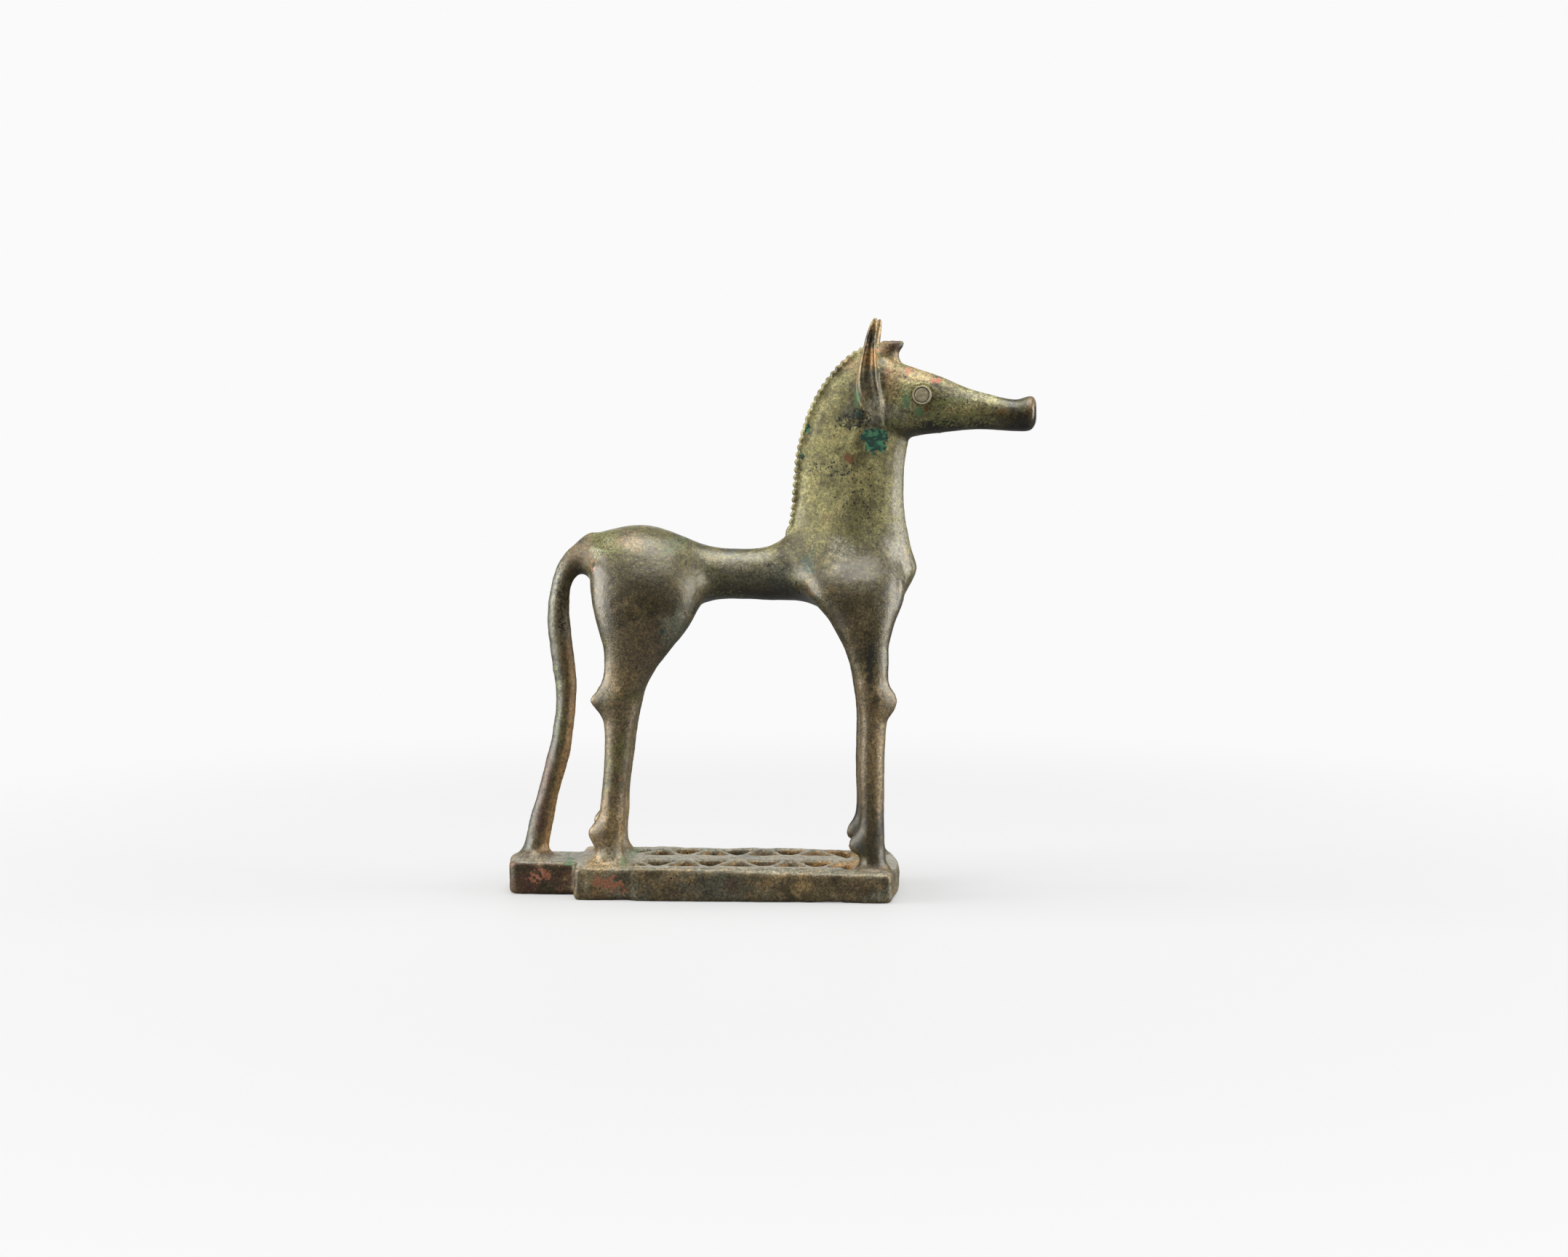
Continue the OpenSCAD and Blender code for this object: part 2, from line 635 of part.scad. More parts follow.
module haunch(side) {
    color([0.32, 0.28, 0.19]) shape() difference() {
        whole_hind_leg(side);
        slab(0, joint_level);
        whole_croup();
    }
}

module right_haunch() {
    haunch(-1);
}

module left_haunch() {
    haunch(1);
}

module hind_shank(side) {
    color([0.34, 0.3, 0.23]) shape() intersection() {
        whole_hind_leg(side);
        slab(fetlock_level, joint_level);
    }
}

module right_hind_shank() {
    hind_shank(-1);
}

module left_hind_shank() {
    hind_shank(1);
}

module hind_hoof(side) {
    color([0.34, 0.32, 0.25]) shape() difference() {
        whole_hind_leg(side);
        slab(fetlock_level, big);
        slab(0, thick_head_end);
        plate_block();
    }
}

module right_hind_hoof() {
    hind_hoof(-1);
}

module left_hind_hoof() {
    hind_hoof(1);
}

module shoulder(side) {
    color([0.36, 0.32, 0.21]) shape() difference() {
        whole_fore_leg(side);
        slab(0, joint_level);
        whole_forehand();
    }
}

module right_shoulder() {
    shoulder(-1);
}

module left_shoulder() {
    shoulder(1);
}

module fore_shank(side) {
    color([0.36, 0.29, 0.21]) shape() intersection() {
        whole_fore_leg(side);
        slab(fetlock_level, joint_level);
    }
}

module right_fore_shank() {
    fore_shank(-1);
}

module left_fore_shank() {
    fore_shank(1);
}

module fore_hoof(side) {
    color([0.28, 0.24, 0.2]) shape() difference() {
        whole_fore_leg(side);
        slab(fetlock_level, big);
        slab(0, thick_head_end);
        plate_block();
    }
}

module right_fore_hoof() {
    fore_hoof(-1);
}

module left_fore_hoof() {
    fore_hoof(1);
}

base_plate();
tail_ledge();
tail();
croup();
barrel();
chest();
neck();
mane();
head();
muzzle();
forelock();
right_ear();
left_ear();
right_eye();
left_eye();
right_haunch();
left_haunch();
right_hind_shank();
left_hind_shank();
right_hind_hoof();
left_hind_hoof();
right_shoulder();
left_shoulder();
right_fore_shank();
left_fore_shank();
right_fore_hoof();
left_fore_hoof();
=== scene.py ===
import math

import bmesh
import bpy
import numpy as np
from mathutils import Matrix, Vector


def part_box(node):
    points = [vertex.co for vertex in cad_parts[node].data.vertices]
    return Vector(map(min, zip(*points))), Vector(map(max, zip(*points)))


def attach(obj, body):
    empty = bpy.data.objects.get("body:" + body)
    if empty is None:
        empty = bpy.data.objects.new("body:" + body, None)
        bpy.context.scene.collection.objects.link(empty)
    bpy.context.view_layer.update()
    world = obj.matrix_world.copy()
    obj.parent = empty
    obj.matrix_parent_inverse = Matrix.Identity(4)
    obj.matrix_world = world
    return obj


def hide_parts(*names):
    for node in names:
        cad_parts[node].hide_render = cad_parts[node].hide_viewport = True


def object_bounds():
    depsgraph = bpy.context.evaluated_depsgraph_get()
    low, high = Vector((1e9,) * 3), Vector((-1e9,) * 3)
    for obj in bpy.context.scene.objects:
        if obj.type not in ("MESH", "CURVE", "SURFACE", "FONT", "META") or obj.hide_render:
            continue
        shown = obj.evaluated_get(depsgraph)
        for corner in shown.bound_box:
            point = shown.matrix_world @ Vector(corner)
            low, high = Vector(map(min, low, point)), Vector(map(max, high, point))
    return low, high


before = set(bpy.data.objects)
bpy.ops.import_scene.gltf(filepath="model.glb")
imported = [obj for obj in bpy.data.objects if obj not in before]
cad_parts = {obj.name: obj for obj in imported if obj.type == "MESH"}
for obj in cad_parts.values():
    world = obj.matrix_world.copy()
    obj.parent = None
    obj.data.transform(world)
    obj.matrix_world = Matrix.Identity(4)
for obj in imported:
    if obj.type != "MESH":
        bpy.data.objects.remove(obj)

import openvdb as vdb
from mathutils import Euler, Vector
from mathutils.kdtree import KDTree

# A small bronze horse on a pierced plate, cast in one piece. The CAD nodes give the shapes and the places,
# and marks and fine work lie at small steps from a node's box or edge.
# The casting is blended from them as one skin, worked over, and then parted into one closed piece per node.
# Lengths inside the casting code are millimetres, because bronze detail is sized in them.

MM = 0.001
CAD_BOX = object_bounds()
LOW, HIGH = (np.array(v) / MM for v in CAD_BOX)
NODES = sorted(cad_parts)
SIDES = ["right", "left"]


def both(name):
    """The right and left nodes of a pair."""
    return [side + "_" + name for side in SIDES]


def on_side(name, side):
    """The node of that name on one side of the horse, or the single one in the middle."""
    return side + "_" + name if side + "_" + name in NODES else name


SLOT_OF = {
    "plate_bronze": ["base_plate", "tail_ledge"],
    "body_bronze": ["croup", "barrel", "chest"] + both("haunch") + both("shoulder"),
    "leg_bronze": ["tail"] + both("hind_shank") + both("hind_hoof") + both("fore_shank") + both("fore_hoof"),
    "neck_bronze": ["neck", "mane"],
    "head_bronze": ["head", "muzzle", "forelock"] + both("ear") + both("eye"),
}
EYES = both("eye")
TORSO = SLOT_OF["body_bronze"] + ["neck"]
CRISP = ["mane"] + both("ear") + ["forelock"]

# how the wax is joined and rounded: grid step, radii of the hollows between parts, widths of the blends
# where parts are added, half sizes of the blurs, and how far the skin swells to make up for them
VOXEL = 0.42
TORSO_FILLET = 4.0
FOOT_FILLET = 1.5
CRISP_FILLET = 0.05
TAIL_BLEND = 4.5
CRISP_BLEND = 1.0
SOFT_SIZE = 3.0
SOFT_SWELL = 0.55
PLATE_SIZE = 0.5
PLATE_SWELL = 0.15
RIB_SWELL = 0.65
# the distance given to places that no part is near
FAR_OFF = 6.0


def box_mm(node):
    """Lowest and highest corners of a node, in millimetres."""
    return [np.array(v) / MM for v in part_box(node)]


def edge_mm(node, end, axis):
    """The low or high edge (end 0 or 1) of a node along an axis, to a tenth of a millimetre."""
    return round(float(box_mm(node)[end][axis]), 1)


def listed(items, name, width, kind=np.float32):
    """One property of every item, as rows of numbers."""
    flat = np.empty(len(items) * width, kind)
    items.foreach_get(name, flat)
    return flat.reshape(-1, width)


# ---- noise and falloff, all seeded by their arguments ----

# turns the noise's cells away from the axes, so that they don't show on flat faces
TILT = np.array(Euler((0.6, 0.9, 0.4)).to_matrix())


def lattice(cell, seed):
    """A repeatable number from -1 to 1 for each whole-number cell."""
    h = cell[:, 0] * 73856093 ^ cell[:, 1] * 19349663 ^ cell[:, 2] * 83492791 ^ (seed * 2654435761)
    h = (h ^ (h >> 13)) * 1274126177
    h = (h ^ (h >> 16)) & 0xFFFFFF
    return h / float(0x7FFFFF) - 1


def noise(points, size, seed):
    """Smooth noise from -1 to 1 with features of about the given size in millimetres."""
    p = points @ TILT / size + seed * 17.31
    cell = np.floor(p).astype(np.int64)
    f = p - cell
    f = f * f * f * (f * (f * 6 - 15) + 10)
    total = np.zeros(len(p))
    for corner in np.ndindex(2, 2, 2):
        share = np.where(corner, f, 1 - f).prod(axis=1)
        total += share * lattice(cell + corner, seed)
    return total


def rise(x, low, high):
    """0 below low, 1 above high, smooth between."""
    t = np.clip((x - low) / (high - low), 0, 1)
    return t * t * (3 - 2 * t)


def hump(x, low, start, end, high):
    """0 below low and above high, 1 from start to end, smooth between."""
    return rise(x, low, start) * (1 - rise(x, end, high))


def pits(points, cell_size, share, seed):
    """Round pits, one in a share of the cells: depth from 0 to 1 at each point."""
    grid = np.floor(points / cell_size).astype(np.int64)
    deepest = np.zeros(len(points))
    for step in np.ndindex(3, 3, 3):
        cell = grid + np.array(step) - 1
        middle = np.stack([lattice(cell, seed + i) for i in range(3)], axis=1) * 0.3 + 0.5
        radius = cell_size * (0.15 + 0.07 * lattice(cell, seed + 3))
        dug = lattice(cell, seed + 4) > 1 - 2 * share
        far = np.linalg.norm(points - (cell + middle) * cell_size, axis=1)
        np.maximum(deepest, (1 - rise(far / radius, 0.2, 1.0)) * dug, out=deepest)
    return deepest


def shells(faces, count):
    """A number for each point that is the same all over one connected shell."""
    label = np.arange(count)
    while True:
        low = label[faces].min(axis=1)
        new = label.copy()
        for column in faces.T:
            np.minimum.at(new, column, low)
        new = new[new]
        if (new == label).all():
            return label
        label = new


def largest_shell(faces, count):
    """Which points belong to the connected shell with the most points."""
    label = shells(faces, count)
    names, sizes = np.unique(label, return_counts=True)
    return label == names[sizes.argmax()]


# ---- level sets ----

def mesh_faces(mesh):
    """A mesh's triangles as rows of point numbers."""
    mesh.calc_loop_triangles()
    return listed(mesh.loop_triangles, "vertices", 3, np.int32)


def triangles(node):
    """A CAD node's points in millimetres and its triangles."""
    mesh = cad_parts[node].data
    return listed(mesh.vertices, "co", 3) / np.float32(MM), mesh_faces(mesh)


def gathered(nodes):
    """Several nodes' points and triangles as one list."""
    points, faces, count = [], [], 0
    for node in nodes:
        p, f = triangles(node)
        points.append(p)
        faces.append(f + count)
        count += len(p)
    return np.concatenate(points), np.concatenate(faces).astype(np.uint32)


def level_set(points, faces, reach, voxel):
    """A closed skin of triangles or quads as a narrow band of distances."""
    kind = "triangles" if faces.shape[1] == 3 else "quads"
    grid = vdb.createLinearTransform(voxelSize=voxel)
    return vdb.FloatGrid.createLevelSetFromPolygons(
        points, transform=grid, halfWidth=reach / voxel, **{kind: faces})


class Field:
    """Signed distance in millimetres on a block of the grid, negative in the metal."""

    def __init__(self, low, values, voxel):
        self.low = low
        self.values = values
        self.voxel = voxel

    @classmethod
    def of_skin(cls, points, faces, reach, voxel):
        """Distance to a closed skin, true up to reach millimetres."""
        grid = level_set(points, faces, reach, voxel)
        pad = int(reach / voxel) + 3
        low = np.floor(points.min(axis=0) / voxel).astype(int) - pad
        high = np.ceil(points.max(axis=0) / voxel).astype(int) + pad + 1
        values = np.empty(tuple(high - low), np.float32)
        grid.copyToArray(values, ijk=tuple(int(v) for v in low))
        return cls(low, values, voxel)

    def skin(self):
        """Points and quads of the surface."""
        grid = vdb.FloatGrid(float(self.values.max()))
        grid.copyFromArray(self.values, ijk=tuple(int(v) for v in self.low), tolerance=0)
        grid.transform = vdb.createLinearTransform(voxelSize=self.voxel)
        return grid.convertToQuads(0.0)

    def view_of(self, other):
        """This field's block where the other lies, which must be inside it."""
        start = other.low - self.low
        return self.values[tuple(slice(int(a), int(a + n)) for a, n in zip(start, other.values.shape))]

    def at(self, points):
        """Distance at any points; the block's reach where they lie outside it."""
        place = points / self.voxel - self.low
        cell = np.floor(place).astype(int)
        within = ((cell >= 0) & (cell < np.array(self.values.shape) - 1)).all(axis=1)
        found = np.full(len(points), float(self.values.max()))
        cell, part_way = cell[within], (place - cell)[within]
        total = np.zeros(len(cell))
        for step in np.ndindex(2, 2, 2):
            share = np.where(step, part_way, 1 - part_way).prod(axis=1)
            total += share * self.values[tuple((cell + step).T)]
        found[within] = total
        return found

    def soften(self, where, half_size, swell):
        """Blurs the solid where a mask of X and Z says, and swells it a little to keep its girth."""
        half = int(round(half_size / self.voxel))
        blurred = self.values
        for turn in range(3):
            for axis in range(3):
                blurred = box_blur(blurred, half, axis)
        x = (self.low[0] + np.arange(self.values.shape[0])) * self.voxel
        z = (self.low[2] + np.arange(self.values.shape[2])) * self.voxel
        share = where(x[:, None], z[None, :])[:, None, :].astype(np.float32)
        self.values += share * (blurred - np.float32(swell) - self.values)

    def join(self, other, blend):
        """Adds another solid, with a soft blend of that width in the crease between them."""
        mine = self.view_of(other)
        nearer = np.minimum(mine, other.values)
        if blend:
            overlap = np.clip(blend - np.abs(mine - other.values), 0, None) / blend
            nearer = nearer - overlap * overlap * (blend / 4)
        np.copyto(mine, nearer)


def box_blur(values, half, axis):
    """Mean over a window of half steps each way along an axis; the ends stay as they are."""
    total = np.cumsum(values, axis=axis, dtype=np.float64)
    size = 2 * half + 1
    head = np.take(total, range(size - 1, values.shape[axis]), axis=axis)
    before = np.concatenate([np.zeros_like(np.take(total, [0], axis=axis)),
                             np.take(total, range(values.shape[axis] - size), axis=axis)], axis=axis)
    result = values.copy()
    middle = [slice(None)] * 3
    middle[axis] = slice(half, values.shape[axis] - half)
    result[tuple(middle)] = (head - before) / size
    return result


def flesh(x, z):
    """Where the torso is rounded like flesh: not on the legs, neck, front of the breast or tail's root."""
    low, high = box_mm("barrel")
    legs = box_mm("right_haunch")[0][2]
    breast = box_mm("chest")[1][0]
    rump = box_mm("croup")[0][0]
    neck = rise(x, high[0] - 6, high[0]) * rise(z, high[2], high[2] + 10)
    front = rise(x, breast - 8, breast - 3)
    root = (1 - rise(x, rump + 1, rump + 10)) * rise(z, high[2] - 11, high[2] - 5)
    return rise(z, legs + 2, legs + 14) * (1 - neck) * (1 - front) * (1 - root)


def footing(x, z):
    """The plate and ledge, whose edges and ribs were rounded in the wax."""
    top = box_mm("base_plate")[1][2]
    return (1 - rise(z, top + 0.3, top + 1.5)) * np.ones_like(x)


def thicken_ribs(field):
    """Narrows the plate's openings without raising its flat top."""
    x, y, z = ((field.low[i] + np.arange(field.values.shape[i])) * field.voxel for i in range(3))
    low, high = box_mm("base_plate")
    start, end = box_mm("right_hind_hoof")[1][0], box_mm("right_fore_hoof")[0][0]
    along = hump(x, start, start + 2, end - 2, end)
    across = rise(high[1] - np.abs(y), 3, 5)
    below = 1 - rise(z, high[2] + 1, high[2] + 3)
    share = along[:, None, None] * across[None, :, None] * below[None, None, :]
    thick = np.maximum(field.values - np.float32(RIB_SWELL), (z - high[2])[None, None, :])
    field.values += (share * (thick - field.values)).astype(np.float32)


def closed(nodes, fillet):
    """The nodes as one solid, with the hollows between them filled to that radius."""
    points, faces = gathered(nodes)
    points, quads = level_set(points, faces, fillet + 2 * VOXEL, VOXEL).convertToQuads(fillet)
    field = Field.of_skin(points, quads, fillet + 4 * VOXEL, VOXEL)
    field.values += np.float32(fillet)
    return field


def cast_field():
    """The whole casting without the eyes as one field."""
    plain = [n for n in NODES if n not in EYES + CRISP + ["tail"]]
    torso = closed(TORSO, TORSO_FILLET)
    rest = closed(plain, FOOT_FILLET)
    tail = closed(["tail"], FOOT_FILLET)
    crisp = [closed([n], CRISP_FILLET) for n in CRISP]
    everything = [torso, rest, tail] + crisp
    low = np.min([f.low for f in everything], axis=0)
    high = np.max([f.low + f.values.shape for f in everything], axis=0)
    whole = Field(low, np.full(tuple(high - low), FAR_OFF, np.float32), VOXEL)
    whole.join(torso, 0)
    whole.join(rest, 0)
    whole.soften(flesh, SOFT_SIZE, SOFT_SWELL)
    thicken_ribs(whole)
    whole.soften(footing, PLATE_SIZE, PLATE_SWELL)
    whole.join(tail, TAIL_BLEND)
    for field in crisp:
        whole.join(field, CRISP_BLEND)
    return whole


# ---- the skin: smoothing and hand work ----

def rows(*columns):
    """Columns of numbers put side by side."""
    return np.stack(columns, axis=1)


class Skin:
    """The casting's surface as arrays of points and triangles."""

    def __init__(self, points, quads):
        self.points = points.astype(np.float64)
        self.quads = quads.astype(np.int64)
        self.keep_largest()
        self.split_quads()
        self.link()

    def link(self):
        """Lists each edge once, as two point numbers."""
        t = self.triangles
        ends = np.sort(np.concatenate([t[:, [0, 1]], t[:, [1, 2]], t[:, [2, 0]]]), axis=1)
        keys = np.unique(ends[:, 0] * len(self.points) + ends[:, 1])
        self.edges = rows(keys // len(self.points), keys % len(self.points))
        self.degree = np.bincount(self.edges.ravel(), minlength=len(self.points)).astype(float)

    def keep_largest(self):
        """Drops specks that aren't joined to the casting."""
        kept = largest_shell(self.quads, len(self.points))
        order = np.cumsum(kept) - 1
        self.quads = order[self.quads[kept[self.quads[:, 0]]]]
        self.points = self.points[kept]

    def split_quads(self):
        """Turns the quads into triangles along their shorter diagonals."""
        q = self.quads
        p = self.points[q]
        diagonals = [np.linalg.norm(p[:, i] - p[:, i + 2], axis=1) for i in range(2)]
        short = (diagonals[0] <= diagonals[1])[:, None]
        first = np.where(short, q[:, [0, 1, 2]], q[:, [0, 1, 3]])
        second = np.where(short, q[:, [0, 2, 3]], q[:, [1, 2, 3]])
        self.triangles = np.concatenate([first, second])

    def refine(self, chosen):
        """Splits the triangles that hold a chosen point in four, and their neighbours to match."""
        tri = self.triangles
        wanted = chosen[tri].any(axis=1)
        sides = np.stack([tri, tri[:, [1, 2, 0]]], axis=2)
        keys = np.sort(sides.reshape(-1, 2), axis=1)
        keys = keys[:, 0] * len(self.points) + keys[:, 1]
        marked = np.unique(keys[np.repeat(wanted, 3)])
        place = np.searchsorted(marked, keys).clip(0, len(marked) - 1)
        cut = (marked[place] == keys).reshape(-1, 3)
        middle = (place + len(self.points)).reshape(-1, 3)
        ends = rows(marked // len(self.points), marked % len(self.points))
        parts = [tri[~cut.any(axis=1)]]
        for turn in range(3):
            t, m, c = (np.roll(a, -turn, axis=1) for a in (tri, middle, cut))
            one = c[:, 0] & ~c[:, 1] & ~c[:, 2]
            (a, b, d), first = t[one].T, m[one, 0]
            parts += [rows(a, first, d), rows(first, b, d)]
            two = c[:, 0] & c[:, 1] & ~c[:, 2]
            (a, b, d), (first, second) = t[two].T, m[two, :2].T
            parts += [rows(first, b, second), rows(a, first, second), rows(a, second, d)]
        full = cut.all(axis=1)
        t, m = tri[full], middle[full]
        parts += [rows(t[:, i], m[:, i], m[:, (i + 2) % 3]) for i in range(3)] + [m]
        self.points = np.concatenate([self.points, self.points[ends].mean(axis=1)])
        self.triangles = np.concatenate(parts)
        self.link()

    def spread(self, values):
        """Each point's mean over its neighbours."""
        total = np.empty_like(values)
        a, b = self.edges[:, 0], self.edges[:, 1]
        for j in range(values.shape[1]):
            column = values[:, j]
            total[:, j] = np.bincount(a, column[b], len(column)) + np.bincount(b, column[a], len(column))
        return total / self.degree[:, None]

    def smooth(self, passes, share, back):
        """Evens the surface without shrinking it; share says how much at each point."""
        for i in range(passes):
            for step in (0.5, back):
                self.points += (self.spread(self.points) - self.points) * (step * share)[:, None]

    def normals(self):
        """Outward unit normals at the points."""
        corner = self.points[self.triangles]
        face = np.cross(corner[:, 1] - corner[:, 0], corner[:, 2] - corner[:, 0])
        total = np.empty_like(self.points)
        for j in range(3):
            total[:, j] = sum(np.bincount(self.triangles[:, i], face[:, j], len(total)) for i in range(3))
        return total / np.maximum(np.linalg.norm(total, axis=1), 1e-12)[:, None]


# ---- places on the casting, from the frame ----

def eye_axis(side):
    """Middle and outward direction of an eye disc, in millimetres."""
    points, _ = triangles(side + "_eye")
    middle = points.mean(axis=0)
    spread = np.linalg.svd(points - middle)[2][2]
    outward = -1 if side == "right" else 1
    return middle, spread * np.sign(spread[1]) * outward


def polar(points, pivot):
    """Each point's step from the pivot, its angle round Y from 0 to a full turn, and its distance."""
    across = points - pivot
    angle = np.arctan2(across[:, 2], across[:, 0])
    angle[angle < 0] += 2 * np.pi
    return across, angle, np.hypot(across[:, 0], across[:, 2])


def crest_line():
    """The mane's outer edge: pivot, angles and radii round it, and the length along it, in millimetres."""
    points, _ = triangles("mane")
    low, high = points.min(axis=0), points.max(axis=0)
    pivot = np.array([high[0] + 12, 0, (low[2] * 2 + high[2]) / 3])
    _, angle, radius = polar(points, pivot)
    bins = np.linspace(angle.min(), angle.max(), 26)
    place = np.digitize(angle, bins) - 1
    middle, outer = [], []
    for i in range(len(bins) - 1):
        here = place == i
        if here.any():
            middle.append(angle[here][radius[here].argmax()])
            outer.append(radius[here].max())
    fit = np.polynomial.Polynomial.fit(middle, outer, 7)
    angles = np.linspace(angle.min(), angle.max(), 400)
    radii = fit(angles)
    steps = np.hypot(np.diff(radii), radii[1:] * np.diff(angles))
    return pivot, angles, radii, np.concatenate([[0], np.cumsum(steps)])


# ---- hand work on the skin ----

PLATE_TOP = edge_mm("base_plate", 1, 2)
NOTCHES = 31
NOTCH_DEPTH = 0.6
EYE_RADIUS = 2.85
EYE_GROOVE = 0.32
MUSCLES = {"haunch": 1.6, "shoulder": 0.4}
MUSCLE_DROP = 15
# swells of the surface: size in millimetres, seed, height on the horse, and what the plate and tail add
SWELLS = [(9, 1, 0.13, 0.14, 0.10), (3.4, 2, 0.05, 0.07, 0.08), (1.5, 3, 0.028, 0.03, 0)]
# pits: size of a cell in millimetres, share of the cells that hold one, seed, depth, and what the plate adds
PITS = [(4.2, 0.16, 5, 0.13, 0), (2.4, 0.1, 11, 0.10, 0.12)]
FINE_WORK = ["mane", "forelock"] + both("ear") + ["muzzle"]


def cut_mane(skin):
    """Scallops along the crest."""
    pivot, angles, radii, along = crest_line()
    across, angle, radius = polar(skin.points, pivot)
    deep = np.interp(angle, angles, radii) - radius
    near = hump(angle, angles[0] - 0.01, angles[0] + 0.02, angles[-1] - 0.04, angles[-1])
    near *= hump(deep, -2, -1.2, 0.3, 2.4) * (1 - rise(np.abs(skin.points[:, 1]), 2.2, 3))
    step = np.interp(angle, angles, along) / along[-1] * NOTCHES
    scallop = 1 - np.abs(np.sin(np.pi * step))
    move = near * (NOTCH_DEPTH * scallop - 0.1)
    skin.points[:, [0, 2]] -= (across / radius[:, None])[:, [0, 2]] * move[:, None]


def sink_eyes(skin):
    """A fine groove in the head round each eye disc."""
    for side in SIDES:
        middle, out = eye_axis(side)
        across = skin.points - middle
        height = across @ out
        far = np.linalg.norm(across - height[:, None] * out, axis=1)
        groove = hump(far, EYE_RADIUS - 0.9, EYE_RADIUS, EYE_RADIUS + 0.25, EYE_RADIUS + 0.8)
        skin.points -= out * (EYE_GROOVE * groove * (np.abs(height) < 3))[:, None]


def fill_muscles(skin):
    """Rounds out the middle of each haunch and shoulder."""
    for muscle, height in MUSCLES.items():
        for side in SIDES:
            low, high = box_mm(side + "_" + muscle)
            middle = (low + high) / 2
            x, y, z = skin.points.T
            far = np.hypot(x - middle[0], (z - high[2] + MUSCLE_DROP) * 0.8) / (high[0] - low[0])
            outside = rise(y * np.sign(middle[1]), 3, 9)
            skin.points[:, 1] += np.sign(middle[1]) * height * outside * (1 - rise(far, 0.0, 0.62))


def roughen(skin, kind):
    """The unevenness, grain and pits of an old casting; kind gives each node's share at the points."""
    p = skin.points
    plate = kind["base_plate"] + kind["tail_ledge"]
    calm = 1 - 0.7 * np.clip(sum(kind[n] for n in FINE_WORK), 0, 1)
    swell = sum((height + on_plate * plate + on_tail * kind["tail"]) * noise(p, size, seed)
                for size, seed, height, on_plate, on_tail in SWELLS)
    holes = sum((depth + on_plate * plate) * pits(p, size, share, seed)
                for size, share, seed, depth, on_plate in PITS)
    skin.points += skin.normals() * (calm * (swell - holes))[:, None]


def keep_in_box(skin):
    """Holds the skin inside the CAD model's box and on the floor."""
    skin.points = np.clip(skin.points, LOW + 0.01, HIGH - 0.01)


# ---- patina: colours, and where they lie ----

OLIVE = (0.28, 0.25, 0.092)
STRAW = (0.31, 0.28, 0.12)
MOSS = (0.125, 0.108, 0.032)
KHAKI = (0.19, 0.17, 0.06)
UMBER = (0.050, 0.036, 0.010)
BROWN = (0.074, 0.056, 0.018)
BARK = (0.130, 0.084, 0.028)
REDDISH = (0.10, 0.045, 0.022)
TAN = (0.32, 0.215, 0.09)
CLAY = (0.155, 0.11, 0.048)
OCHRE = (0.34, 0.165, 0.03)
SLATE = (0.060, 0.064, 0.044)
STONE = (0.17, 0.155, 0.10)
PALE_GREY = (0.42, 0.40, 0.30)
PINK = (0.40, 0.19, 0.11)
NEAR_BLACK = (0.016, 0.013, 0.008)
PINE = (0.008, 0.050, 0.034)
MINT = (0.10, 0.20, 0.085)
EMERALD = (0.06, 0.24, 0.12)
LIME = (0.20, 0.22, 0.07)
RUST = (0.20, 0.062, 0.010)
COPPER = (0.36, 0.11, 0.045)
EARTH = (0.42, 0.24, 0.08)

# for each sort of node: its colour, the colour it clouds into, its roughness, how strong its grain is and
# how speckled it is
GROUNDS = {
    "neck": (OLIVE, MOSS, 0.54, 0.33, 0.8),
    "mane": (STRAW, MOSS, 0.46, 0.40, 0.7),
    "head": (STRAW, UMBER, 0.38, 0.46, 0.9),
    "muzzle": (NEAR_BLACK, UMBER, 0.26, 0.30, 0.5),
    "forelock": (REDDISH, BARK, 0.42, 0.40, 0.6),
    "ear": (TAN, BARK, 0.36, 0.35, 0.6),
    "chest": (KHAKI, BROWN, 0.36, 0.42, 0.8),
    "shoulder": (BROWN, UMBER, 0.31, 0.40, 0.7),
    "barrel": (MOSS, SLATE, 0.30, 0.42, 0.8),
    "croup": (MOSS, BROWN, 0.32, 0.42, 0.8),
    "haunch": (BROWN, UMBER, 0.30, 0.40, 0.7),
    "hind_shank": (CLAY, MOSS, 0.36, 0.40, 0.7),
    "fore_shank": (CLAY, BARK, 0.35, 0.40, 0.7),
    "hind_hoof": (TAN, BARK, 0.38, 0.40, 0.7),
    "fore_hoof": (UMBER, NEAR_BLACK, 0.34, 0.34, 0.5),
    "tail": (CLAY, MOSS, 0.40, 0.40, 0.8),
    "base_plate": (CLAY, STONE, 0.42, 0.42, 0.8),
    "tail_ledge": (REDDISH, UMBER, 0.44, 0.42, 0.8),
}
